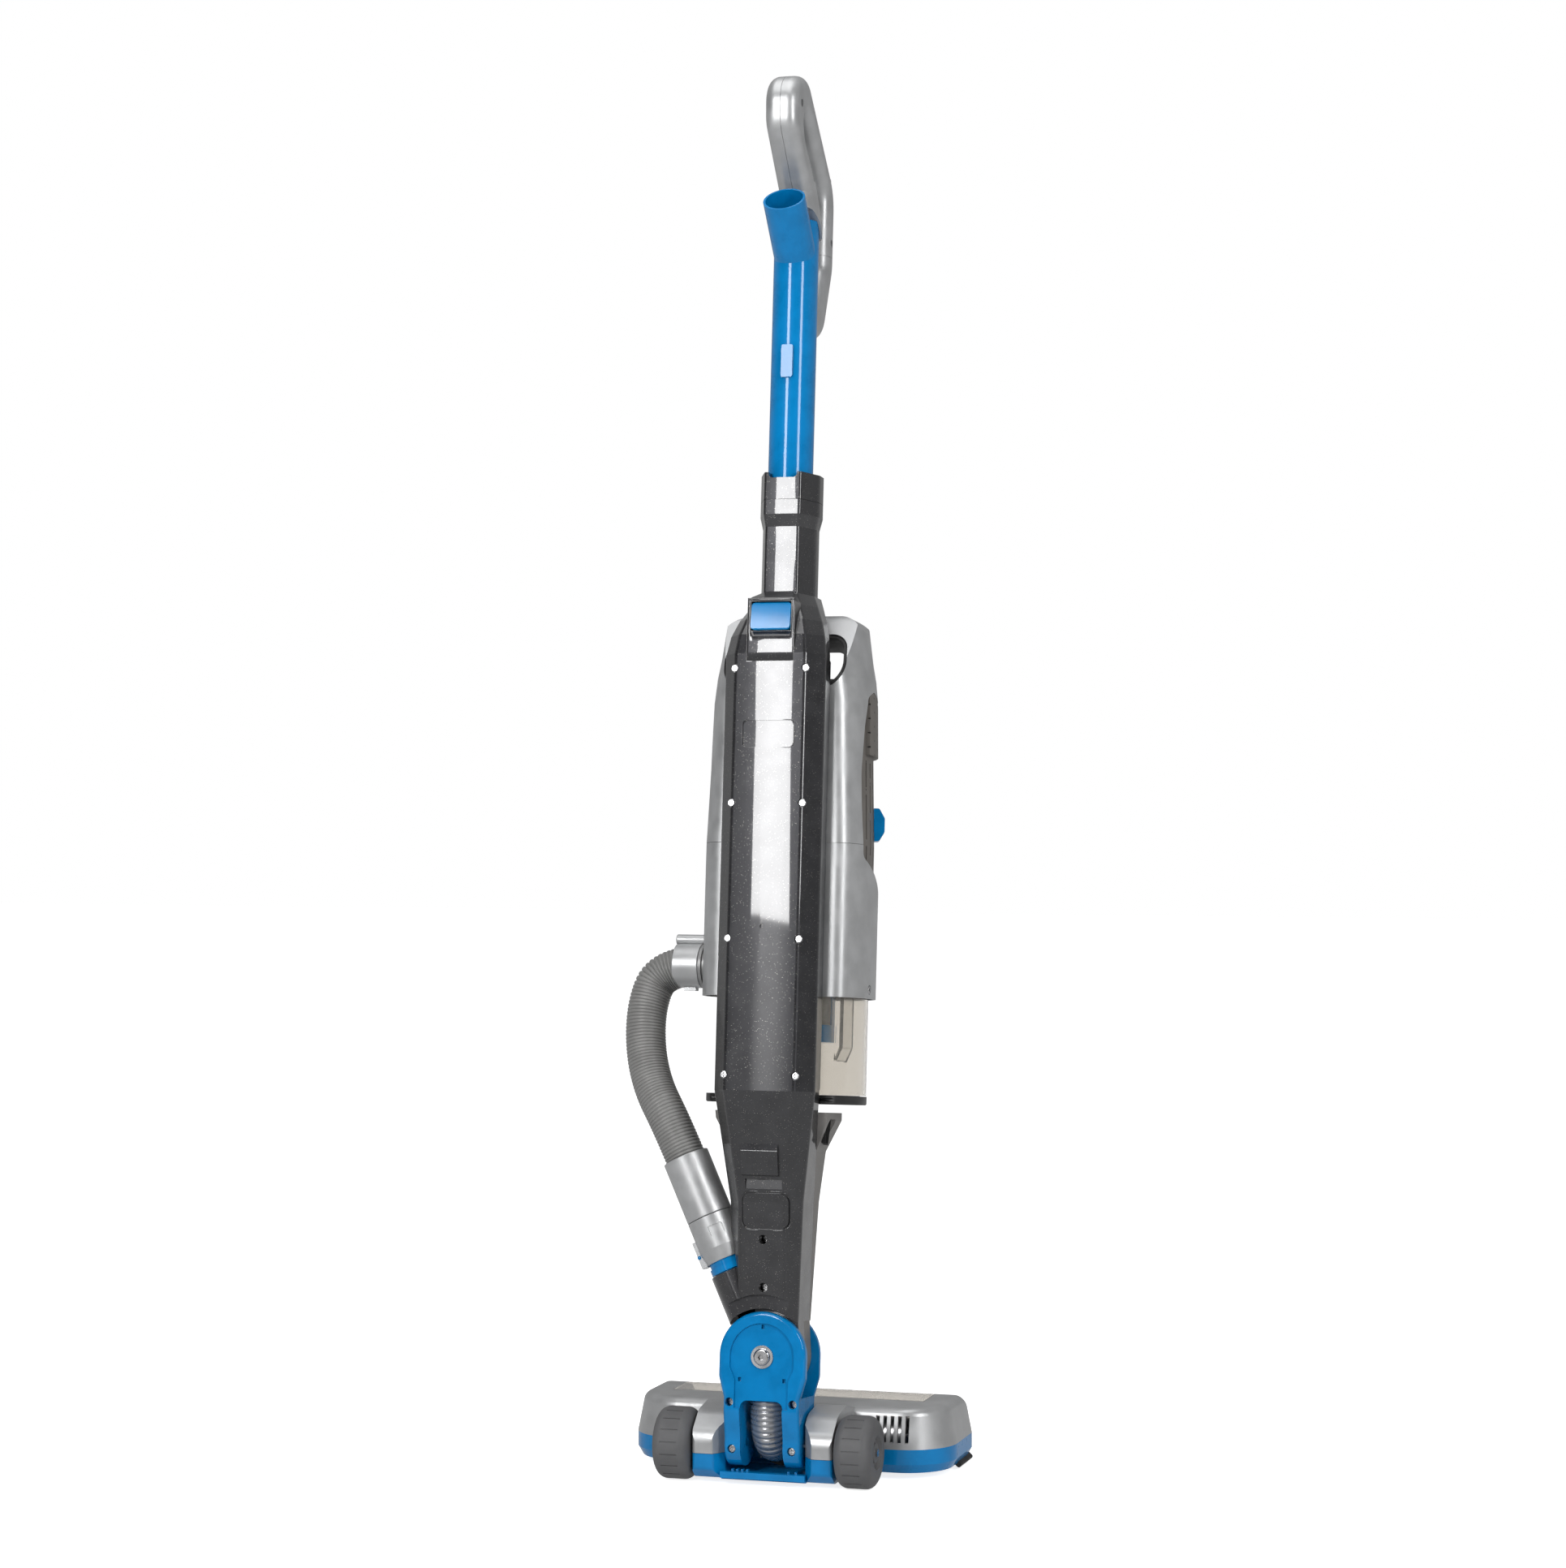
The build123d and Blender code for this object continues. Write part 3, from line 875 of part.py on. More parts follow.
cells = []
for x in (-30, -10, 10, 30):
    for q in (CAN_Q - 11, CAN_Q + 11):
        cells.append(rod((x, q, 579), (x, q, 620), 9.2))
tray = block(-41, 41, CAN_Q - 22, CAN_Q + 22, 575, 579) - rod((0, CAN_Q, 560), (0, CAN_Q, 590), 14.5)
lean_nodes["battery_pack"] = tray.fuse(*cells)
lean_nodes["control_board"] = block(-34, 34, CAN_BACK - 5.5, CAN_BACK - 3.9, 520, 612) + block(
    -20, -6, CAN_BACK - 9, CAN_BACK - 5.5, 540, 560) + block(6, 20, CAN_BACK - 9, CAN_BACK - 5.5, 580, 596)

CUFF_AT = CAN_R + 4.3
stub_bore = rod((40, CAN_Q, INLET_Z), (90, CAN_Q, INLET_Z), INLET_R - 2)
stub = rod((BIN_R - 7, CAN_Q, INLET_Z), (CUFF_AT - 0.2, CAN_Q, INLET_Z), INLET_R)
stub = stub + rod((CAN_R + 0.4, CAN_Q, INLET_Z), (CAN_R + 2.8, CAN_Q, INLET_Z), INLET_R + 2.2)
lean_nodes["hose_inlet"] = stub - stub_bore
cuff_in = rod((CAN_R + 3.2, CAN_Q, INLET_Z), (95, CAN_Q, INLET_Z), HOSE_R + 1.7)
cuff_in = fillet(cuff_in.edges().filter_by(GeomType.CIRCLE), 0.8)
cuff_in = cuff_in - rod((60, CAN_Q, INLET_Z), (CUFF_AT, CAN_Q, INLET_Z), INLET_R + 0.1)
cuff_in = cuff_in - rod((CUFF_AT, CAN_Q, INLET_Z), (100, CAN_Q, INLET_Z), HOSE_R + 0.4)
cuff_in = cuff_in + (block(78, 88, CAN_Q - 4, CAN_Q + 4, INLET_Z - HOSE_R - 4, INLET_Z - HOSE_R)
                     - rod((60, CAN_Q, INLET_Z), (100, CAN_Q, INLET_Z), HOSE_R + 1))
bar_z = INLET_Z + HOSE_R + 4.8
catch_bar = rod((CAN_R + 0.4, CAN_Q, bar_z), (96, CAN_Q, bar_z), 4.4)
catch_bar = fillet(catch_bar.edges().filter_by(GeomType.CIRCLE), 0.8)
catch_bar = catch_bar - rod((60, CAN_Q, INLET_Z), (100, CAN_Q, INLET_Z), HOSE_R + 1.2)
catch_bar = catch_bar - rod((60, CAN_Q, INLET_Z), (CAN_R + 2.8 + GAP, CAN_Q, INLET_Z), INLET_R + 2.2 + GAP)
lean_nodes["inlet_cuff"] = cuff_in + catch_bar
lean_nodes["shroud_screw"] = screw(shroud_screw_at, (-1, 0, 0), 3.4, 1.6, 1.5, 2.2)

# Wand with the angled port, and the loop handle

wand = rod((0, WAND_Q, WAND_LOW), (0, WAND_Q, WAND_TOP), WAND_R)
port_way = Vector(0, sin(radians(PORT_TILT)), cos(radians(PORT_TILT)))
port_root = Vector(0, WAND_Q, PORT_Z)
mouth = port_root + port_way * PORT_LEN
port = rod(tuple(port_root), tuple(mouth), PORT_R)
wand = wand + port
wand = wand - rod((0, WAND_Q, WAND_LOW - 1), (0, WAND_Q, WAND_TOP - 16), WAND_R - WAND_WALL)
wand = wand - rod(tuple(port_root), tuple(mouth + port_way * 5), PORT_BORE_R - 1.2)
wand = wand - rod(tuple(mouth - port_way * PORT_BORE_LEN), tuple(mouth + port_way * 5), PORT_BORE_R)
rib = along_y(Pos(0, 895) * RectangleRounded(9.5, 26.5, 1.5), WAND_Q, WAND_Q + WAND_R + 1.8) - rod(
    (0, WAND_Q, 850), (0, WAND_Q, 950), WAND_R - WAND_WALL / 2)
wand = wand + rib
lean_nodes["wand_tube"] = wand

handle_loop = outline([(0, 917, 12), (-33, 924, 30), (-57, 985, 40), (-57, 1053, 40), (30, 1128, 22),
                       (67, 1118, 24),
                       (64, 1080, 24), (42, 1056, 16), (18, 1030, 10), (-2, 1016, 10), (-2, 1042, 14),
                       (12, 1058, 16),
                       (34, 1076, 14), (40, 1092, 10), (24, 1099, 10), (-35, 1046, 20), (-35, 985, 20),
                       (-17, 950, 10), (0, 944, 12)])
loop = along_x(handle_loop, -HANDLE_T, HANDLE_T)
edges = [e for e in loop.edges() if abs(abs(e.center().X) - HANDLE_T) < 1e-3]
loop = fillet(edges, HANDLE_ROUND)
loop = loop + rod((0, WAND_Q, 1000), (0, WAND_Q, 1012), WAND_R + 2.2)
loop = loop + rod((0, WAND_Q, 1012), (0, WAND_Q, 1046), WAND_R + 2.2, 14)
port_clear = rod(tuple(port_root - port_way * 20), tuple(mouth + port_way * 30), PORT_R + GAP)
loop = loop - rod((0, WAND_Q, 880), (0, WAND_Q, WAND_TOP + GAP), WAND_R + GAP) - port_clear
loop = loop - along_x(outline([(WAND_Q - 12, 990), (60, 990), (60, 1040), (WAND_Q + 10, 1020)]), -60, 60)
bracket_cut = block(-60, 60, -100, 100, 800, 996)
handle_screw_at = [(-46, 1060), (-46, 1008), (50, 1100)]
upper_loop = loop - bracket_cut
for q, z in handle_screw_at:
    upper_loop = upper_loop - rod((-HANDLE_T - 1, q, z), (-HANDLE_T + 4, q, z), 3.2)
    upper_loop = upper_loop - rod((-HANDLE_T, q, z), (8, q, z), 1.4)
lean_nodes["handle_left"] = upper_loop & block(HANDLE_SEAM / 2, 60, -100, 100, 900, 1200)
lean_nodes["handle_right"] = upper_loop & block(-60, -HANDLE_SEAM / 2, -100, 100, 900, 1200)
lean_nodes["handle_screws"] = union([screw((-HANDLE_T + 4, q, z), (-1, 0, 0), 2.9, 1.6, 1.4, 15)
                                     for q, z in handle_screw_at])
lean_nodes["handle_bracket"] = loop & block(-60, 60, -100, 100, 800, 995.8)

for name, shape in level_nodes.items():
    export_step(level(shape), "parts/" + name + ".step")
for name, shape in lean_nodes.items():
    export_step(lean(shape), "parts/" + name + ".step")
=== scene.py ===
import json
import math
import random

import bpy
from mathutils import Matrix, Vector


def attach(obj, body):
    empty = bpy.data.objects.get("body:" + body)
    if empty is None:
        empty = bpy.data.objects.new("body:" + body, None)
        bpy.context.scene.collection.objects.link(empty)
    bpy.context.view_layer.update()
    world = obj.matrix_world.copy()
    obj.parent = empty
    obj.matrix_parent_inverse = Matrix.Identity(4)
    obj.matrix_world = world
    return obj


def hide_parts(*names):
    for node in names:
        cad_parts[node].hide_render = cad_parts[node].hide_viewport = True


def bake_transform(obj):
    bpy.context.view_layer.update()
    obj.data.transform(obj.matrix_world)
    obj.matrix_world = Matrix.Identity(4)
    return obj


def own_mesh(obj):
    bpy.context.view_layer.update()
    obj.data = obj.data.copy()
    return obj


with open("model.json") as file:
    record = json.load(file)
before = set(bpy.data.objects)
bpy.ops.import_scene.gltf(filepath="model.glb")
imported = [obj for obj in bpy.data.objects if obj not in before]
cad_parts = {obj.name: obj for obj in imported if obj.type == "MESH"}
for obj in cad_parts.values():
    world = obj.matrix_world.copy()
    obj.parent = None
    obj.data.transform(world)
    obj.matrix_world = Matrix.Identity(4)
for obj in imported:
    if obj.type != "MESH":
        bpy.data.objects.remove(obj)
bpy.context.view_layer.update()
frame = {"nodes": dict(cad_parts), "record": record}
scene = bpy.context.scene
nodes = frame["nodes"]
slot_of = {row["node"]: row["material_slot"] for row in frame["record"]["subparts"]}

# The body above the floor head leans about the tilt pins of the head
LEAN = math.radians(5.3)
TILT_Y, TILT_Z = 0.0615, 0.032


def leaned(x, q, z):
    """Place in metres on the leaning body, of a point drawn in millimetres on the upright one."""
    y = q / 1000 * math.cos(LEAN) - (z / 1000 - TILT_Z) * math.sin(LEAN)
    up = q / 1000 * math.sin(LEAN) + (z / 1000 - TILT_Z) * math.cos(LEAN)
    return Vector((x / 1000, TILT_Y + y, TILT_Z + up))


def level(x, y, z):
    """Place in metres on the floor head, of a point in millimetres with y measured from the tilt pins."""
    return Vector((x / 1000, TILT_Y + y / 1000, z / 1000))


# Camera: level, behind the cleaner and a little to its right
scene.view_settings.view_transform = "Standard"
LOOK = Vector((0.284, -0.9588, 0.0))
camera = bpy.data.objects.new("camera", bpy.data.cameras.new("camera"))
scene.collection.objects.link(camera)
camera.location = (-0.8137, 2.7671, 0.553)
camera.rotation_mode = "QUATERNION"
camera.rotation_quaternion = LOOK.to_track_quat("-Z", "Y")
camera.data.lens = 82.0
camera.data.sensor_width = 36.0
camera.data.clip_end = 60.0
scene.camera = camera

# Size of the photograph, and the lock mark of the hose in it, in pixels
PHOTO_WIDE, PHOTO_HIGH = 1930, 1932
LOCK_MARK_PX, LOCK_MARK_PY = 862, 1550

# Studio: white floor and surroundings, a tall soft box on either side of the camera, one soft light above
LEFT_TURN, RIGHT_TURN, BOX_REACH = 31, -37, 2.7


def soft_box(name, place, aim, width, height, watts):
    """Rectangular soft light at a place, turned to its aim."""
    light = bpy.data.lights.new(name, "AREA")
    light.shape = "RECTANGLE"
    light.size = width
    light.size_y = height
    light.energy = watts
    lamp = bpy.data.objects.new(name, light)
    scene.collection.objects.link(lamp)
    lamp.location = place
    lamp.rotation_mode = "QUATERNION"
    lamp.rotation_quaternion = (Vector(aim) - Vector(place)).to_track_quat("-Z", "Y")


def round_from_camera(turn, height):
    """Place of a soft box, turn degrees to the left of the camera as the camera sees it."""
    angle = math.radians(turn)
    toward = -LOOK
    left = Vector((toward.y, -toward.x, 0))
    way = toward * math.cos(angle) + left * math.sin(angle)
    return Vector((way.x * BOX_REACH, way.y * BOX_REACH, height))


soft_box("left_box", round_from_camera(LEFT_TURN, 1.50), aim=(0, 0, 1.15), width=0.62, height=1.35, watts=46)
soft_box("right_box", round_from_camera(RIGHT_TURN, 1.45), aim=(0, 0, 1.0), width=0.55, height=1.4, watts=34)
soft_box("top_box", (0.1, 0.5, 2.9), aim=(0, 0, 0.4), width=1.8, height=1.8, watts=28)

# Helpers that add nodes to a tree


def add_node(tree, kind, **settings):
    """New node of a kind, with its settings."""
    node = tree.nodes.new(kind)
    for key, value in settings.items():
        setattr(node, key, value)
    return node


def feed(tree, socket, value):
    """Set a socket to a number, or link it to another socket."""
    if isinstance(value, (int, float)):
        socket.default_value = value
    else:
        tree.links.new(value, socket)


def math_node(tree, operation, a, b=None, clamp=False):
    """Result of a math operation on one or two values."""
    node = add_node(tree, "ShaderNodeMath", operation=operation, use_clamp=clamp)
    for socket, value in zip(node.inputs, (a, b)):
        if value is not None:
            feed(tree, socket, value)
    return node.outputs[0]


def plus_share(tree, base, value, share, clamp=False):
    """Base plus a share of another value."""
    return math_node(tree, "ADD", base, math_node(tree, "MULTIPLY", value, share), clamp=clamp)


def step_node(tree, value, low, high, a=0.0, b=1.0, shape="SMOOTHSTEP"):
    """From a to b as the value goes from low to high."""
    node = add_node(tree, "ShaderNodeMapRange", interpolation_type=shape)
    tree.links.new(value, node.inputs["Value"])
    for label, setting in (("From Min", low), ("From Max", high), ("To Min", a), ("To Max", b)):
        feed(tree, node.inputs[label], setting)
    return node.outputs[0]


def noise_node(tree, place, scale, detail, rough=0.5):
    """Value of a noise texture at a place."""
    node = add_node(tree, "ShaderNodeTexNoise")
    tree.links.new(place, node.inputs["Vector"])
    feed(tree, node.inputs["Scale"], scale)
    node.inputs["Detail"].default_value = detail
    node.inputs["Roughness"].default_value = rough
    return node.outputs[0]


def mix_shader(tree, share, a, b):
    """Shader a, going over to shader b with the share."""
    node = add_node(tree, "ShaderNodeMixShader")
    for socket, value in zip(node.inputs, (share, a, b)):
        tree.links.new(value, socket)
    return node.outputs[0]


def mix_colour(tree, share, a, b):
    """Colour a, going over to colour b with the share."""
    colour_a, colour_b, mixed = 6, 7, 2
    node = add_node(tree, "ShaderNodeMix", data_type="RGBA")
    tree.links.new(share, node.inputs["Factor"])
    for socket, value in ((node.inputs[colour_a], a), (node.inputs[colour_b], b)):
        if isinstance(value, tuple):
            socket.default_value = (*value, 1)
        else:
            tree.links.new(value, socket)
    return node.outputs[mixed]


def bump(tree, shader, height, depth, strength=0.5):
    """Relief of a shader from a height, with its depth in metres."""
    node = add_node(tree, "ShaderNodeBump")
    node.inputs["Strength"].default_value = strength
    node.inputs["Distance"].default_value = depth
    tree.links.new(height, node.inputs["Height"])
    tree.links.new(node.outputs[0], shader.inputs["Normal"])


def seen_straight(tree, path):
    """One for a ray from the camera or through clear plastic, by the node that tells the ray's path."""
    return math_node(tree, "MAXIMUM", path.outputs["Is Camera Ray"], path.outputs["Is Transmission Ray"])


def material_nodes(name):
    """New material with its node tree and its shader."""
    mat = bpy.data.materials.new(name)
    mat.use_nodes = True
    tree = mat.node_tree
    return mat, tree, tree.nodes["Principled BSDF"]


def on_object(tree):
    """Place on the object, for textures."""
    return add_node(tree, "ShaderNodeTexCoord").outputs["Object"]


def world_light():
    """White as the camera sees it, softer as light; mirrored, dim but for a glow below the left box."""
    front_y, rear_y, front_mirrored, rear_mirrored = -0.25, 0.35, 0.42, 0.05
    glow_edge, glow_core, glow_strength = math.cos(math.radians(6.8)), math.cos(math.radians(1)), 2.8
    glow_place = round_from_camera(LEFT_TURN, 0.74)
    mirror_place = Vector((0, 0.05, 0.37))
    world = bpy.data.worlds.new("studio")
    scene.world = world
    world.use_nodes = True
    tree = world.node_tree
    lit = tree.nodes["Background"]
    lit.inputs["Color"].default_value = (0.97, 0.985, 1.0, 1)
    lit.inputs["Strength"].default_value = 0.36
    seen = add_node(tree, "ShaderNodeBackground")
    seen.inputs["Color"].default_value = (1, 1, 1, 1)
    mirrored = add_node(tree, "ShaderNodeBackground")
    way = add_node(tree, "ShaderNodeTexCoord").outputs["Generated"]
    split = add_node(tree, "ShaderNodeSeparateXYZ")
    tree.links.new(way, split.inputs[0])
    dim = step_node(tree, split.outputs["Y"], front_y, rear_y, front_mirrored, rear_mirrored, shape="LINEAR")
    nearness = add_node(tree, "ShaderNodeVectorMath", operation="DOT_PRODUCT")
    nearness.inputs[1].default_value = (glow_place - mirror_place).normalized()
    tree.links.new(way, nearness.inputs[0])
    glow = step_node(tree, nearness.outputs["Value"], glow_edge, glow_core, b=glow_strength)
    tree.links.new(math_node(tree, "ADD", dim, glow), mirrored.inputs["Strength"])
    path = add_node(tree, "ShaderNodeLightPath")
    light = mix_shader(tree, path.outputs["Is Glossy Ray"], lit.outputs[0], mirrored.outputs[0])
    whole = mix_shader(tree, seen_straight(tree, path), light, seen.outputs[0])
    tree.links.new(whole, tree.nodes["World Output"].inputs["Surface"])


def studio_floor():
    """Wide floor, just under the wheels: lifted to white where it is seen, grey where it is mirrored."""
    reach, drop, lift = 12.0, 0.0005, 0.80
    corners = [(-reach, -reach, 0), (reach, -reach, 0), (reach, reach, 0), (-reach, reach, 0)]
    mesh = bpy.data.meshes.new("floor")
    mesh.from_pydata(corners, [], [(0, 1, 2, 3)])
    floor = bpy.data.objects.new("floor", mesh)
    scene.collection.objects.link(floor)
    floor.location.z = -drop
    mat, tree, shader = material_nodes("floor_white")
    shader.inputs["Base Color"].default_value = (0.8, 0.8, 0.8, 1)
    shader.inputs["Roughness"].default_value = 0.9
    shader.inputs["Specular IOR Level"].default_value = 0.0
    shader.inputs["Emission Color"].default_value = (1, 1, 1, 1)
    path = add_node(tree, "ShaderNodeLightPath")
    seen = seen_straight(tree, path)
    tree.links.new(math_node(tree, "MULTIPLY", seen, lift), shader.inputs["Emission Strength"])
    mirrored = add_node(tree, "ShaderNodeEmission")
    mirrored.inputs["Strength"].default_value = 0.55
    only_mirrored = math_node(tree, "SUBTRACT", path.outputs["Is Glossy Ray"], seen, clamp=True)
    surface = mix_shader(tree, only_mirrored, shader.outputs[0], mirrored.outputs[0])
    tree.links.new(surface, tree.nodes["Material Output"].inputs["Surface"])
    mesh.materials.append(mat)


world_light()
studio_floor()

# Shared surface effects, each a node group that takes a place and named numbers


def new_group(name, numbers, results):
    """Node group with its named inputs and their usual values, and its named results."""
    group = bpy.data.node_groups.new(name, "ShaderNodeTree")
    group.interface.new_socket("Place", in_out="INPUT", socket_type="NodeSocketVector")
    for label, value in numbers.items():
        socket = group.interface.new_socket(label, in_out="INPUT", socket_type="NodeSocketFloat")
        socket.default_value = value
    for label in results:
        group.interface.new_socket(label, in_out="OUTPUT", socket_type="NodeSocketFloat")
    given = group.nodes.new("NodeGroupInput").outputs
    result = group.nodes.new("NodeGroupOutput").inputs
    return group, given, result


def fleck_group():
    """Metal flakes in a lacquer: a mask of sparse bright cells, each of its own strength."""
    group, given, result = new_group("metal_flecks", {"Density": 1400.0, "Share": 0.05}, ["Mask"])
    flake_edge, flake_core = 0.42, 0.2
    cells = add_node(group, "ShaderNodeTexVoronoi", feature="F1")
    group.links.new(given["Place"], cells.inputs["Vector"])
    group.links.new(given["Density"], cells.inputs["Scale"])
    split = add_node(group, "ShaderNodeSeparateColor")
    group.links.new(cells.outputs["Color"], split.inputs[0])
    chance, strength = split.outputs[0], split.outputs[1]
    picked = math_node(group, "GREATER_THAN", chance, math_node(group, "SUBTRACT", 1.0, given["Share"]))
    near = step_node(group, cells.outputs["Distance"], flake_edge, flake_core)
    flake = math_node(group, "MULTIPLY", picked, near)
    group.links.new(math_node(group, "MULTIPLY", flake, strength), result["Mask"])
    return group


def grain_group():
    """Moulded skin: fine even grain with a slow unevenness under it."""
    group, given, result = new_group("moulded_grain", {"Fine": 2500.0, "Slow": 60.0}, ["Height", "Drift"])
    slow_share, fine_share = 0.6, 0.4
    drift_low, drift_high = 0.3, 0.7
    fine = noise_node(group, given["Place"], given["Fine"], detail=3.0)
    slow = noise_node(group, given["Place"], given["Slow"], detail=4.0)
    height = plus_share(group, math_node(group, "MULTIPLY", slow, slow_share), fine, fine_share)
    group.links.new(height, result["Height"])
    group.links.new(step_node(group, slow, drift_low, drift_high), result["Drift"])
    return group


def wear_group():
    """Handling marks: hairline scratches that run mostly one way, and dull dusty patches."""
    group, given, result = new_group("handling_marks", {"Amount": 0.5}, ["Scratch", "Dust"])
    hair_low, hair_high = 0.68, 0.74
    patch_low, patch_high = 0.5, 0.72
    stretch = add_node(group, "ShaderNodeMapping")
    stretch.inputs["Scale"].default_value = (900, 900, 24)
    stretch.inputs["Rotation"].default_value = (0.16, 0.22, 0.1)
    group.links.new(given["Place"], stretch.inputs["Vector"])
    lines = noise_node(group, stretch.outputs[0], scale=1.0, detail=2.0)
    hair = step_node(group, lines, hair_low, hair_high)
    patches = noise_node(group, given["Place"], scale=38.0, detail=6.0, rough=0.62)
    dusty = step_node(group, patches, patch_low, patch_high)
    scratched = math_node(group, "MULTIPLY", hair, dusty)
    group.links.new(math_node(group, "MULTIPLY", scratched, given["Amount"]), result["Scratch"])
    group.links.new(math_node(group, "MULTIPLY", dusty, given["Amount"]), result["Dust"])
    return group


FLECKS = fleck_group()
GRAIN = grain_group()
WEAR = wear_group()


def place_group(tree, group, place, **values):
    """Results of a shared effect at a place."""
    node = add_node(tree, "ShaderNodeGroup", node_tree=group)
    tree.links.new(place, node.inputs["Place"])
    for label, value in values.items():
        node.inputs[label].default_value = value
    return node.outputs


# Finishes: how far colour and roughness drift, and what dust and scratches do to a moulding
TONE_SPREAD, ROUGH_SPREAD = 0.08, 0.12
DUST_TINT, DUST_ROUGH = 0.10, 0.12
SCRATCH_ROUGH, SCRATCH_DEPTH = 0.2, 0.5

# Grille of the canister: its axis in front of the tilt pins, the angle from one column of slots to the next,
# and the dots between the slots
CANISTER_AXIS = 0.026
GRILLE_STEP = math.radians(8.0)
GRILLE_RADIUS = 0.0658
DOT_PITCH = 0.0115
DOT_RADIUS = 0.0008
DOT_BLUR = 0.15
DOT_COLOUR = (0.012, 0.011, 0.010)


def tinted(colour, share):
    """A colour, lighter or darker by a share."""
    return tuple(c * share for c in colour)


def dust_on(colour):
    """Colour of the dust that lies on a moulding: a warm grey, lighter on a light moulding."""
    own_share, dust_grey, warmth = 0.5, 0.22, 0.97
    grey = sum(colour) / len(colour) * own_share + dust_grey
    return (grey, grey, grey * warmth)


def moulding(name, colour, rough, coat=0.0, coat_rough=0.05, metallic=0.0, flecks=None, wear=0.3,
             fine=2500.0, depth=0.00002, specular=0.5):
    """Moulded plastic, uneven, grained, scratched and dusty; flecks are a density, share and colour."""
    mat, tree, shader = material_nodes(name)
    place = on_object(tree)
    grain = place_group(tree, GRAIN, place, Fine=fine)
    marks = place_group(tree, WEAR, place, Amount=wear)
    tone = mix_colour(tree, grain["Drift"], tinted(colour, 1 - TONE_SPREAD), tinted(colour, 1 + TONE_SPREAD))
    smooth, dull = rough * (1 - ROUGH_SPREAD), rough * (1 + ROUGH_SPREAD)
    worn = step_node(tree, grain["Drift"], 0.0, 1.0, smooth, dull)
    if flecks:
        density, share, bright = flecks
        flake = place_group(tree, FLECKS, place, Density=density, Share=share)["Mask"]
        tone = mix_colour(tree, flake, tone, bright)
        tree.links.new(math_node(tree, "ADD", flake, metallic, clamp=True), shader.inputs["Metallic"])
    else:
        shader.inputs["Metallic"].default_value = metallic
    tone = mix_colour(tree, math_node(tree, "MULTIPLY", marks["Dust"], DUST_TINT), tone, dust_on(colour))
    worn = plus_share(tree, worn, marks["Dust"], DUST_ROUGH)
    worn = plus_share(tree, worn, marks["Scratch"], SCRATCH_ROUGH, clamp=True)
    tree.links.new(tone, shader.inputs["Base Color"])
    tree.links.new(worn, shader.inputs["Roughness"])
    shader.inputs["Specular IOR Level"].default_value = specular
    if coat:
        shader.inputs["Coat Weight"].default_value = coat
        shader.inputs["Coat Roughness"].default_value = coat_rough
    cut = math_node(tree, "MULTIPLY", marks["Scratch"], SCRATCH_DEPTH)
    bump(tree, shader, math_node(tree, "SUBTRACT", grain["Height"], cut), depth)
    return mat


def clear_moulding(name, colour, rough):
    """See-through plastic with a faint warm tint and dusty haze."""
    wear, dust_haze, scratch_haze = 0.6, 0.10, 0.3
    mat, tree, shader = material_nodes(name)
    marks = place_group(tree, WEAR, on_object(tree), Amount=wear)
    shader.inputs["Base Color"].default_value = (*colour, 1)
    shader.inputs["Transmission Weight"].default_value = 0.93
    shader.inputs["IOR"].default_value = 1.46
    haze = plus_share(tree, rough, marks["Dust"], dust_haze)
    haze = plus_share(tree, haze, marks["Scratch"], scratch_haze, clamp=True)
    tree.links.new(haze, shader.inputs["Roughness"])
    return mat


def plated(name, colour, rough):
    """Bright metal, a little uneven in tone and gloss, with a very fine grain."""
    dark, light = tinted(colour, 0.92), tinted(colour, 1.06)
    smooth, dull = rough * 0.85, rough * 1.2
    mat, tree, shader = material_nodes(name)
    grain = place_group(tree, GRAIN, on_object(tree), Fine=6000.0, Slow=80.0)
    tree.links.new(mix_colour(tree, grain["Drift"], dark, light), shader.inputs["Base Color"])
    tree.links.new(step_node(tree, grain["Drift"], 0.0, 1.0, smooth, dull), shader.inputs["Roughness"])
    shader.inputs["Metallic"].default_value = 1.0
    bump(tree, shader, grain["Height"], depth=0.000004, strength=0.3)
    return mat


def cloth(name, colour, fine):
    """Felt or filter cloth: fibrous, rough, with sheen."""
    dark, light = tinted(colour, 0.6), tinted(colour, 1.35)
    mat, tree, shader = material_nodes(name)
    grain = place_group(tree, GRAIN, on_object(tree), Fine=fine, Slow=300.0)
    tree.links.new(mix_colour(tree, grain["Height"], dark, light), shader.inputs["Base Color"])
    shader.inputs["Roughness"].default_value = 0.95
    shader.inputs["Sheen Weight"].default_value = 0.3
    bump(tree, shader, grain["Height"], depth=0.0004, strength=0.8)
    return mat


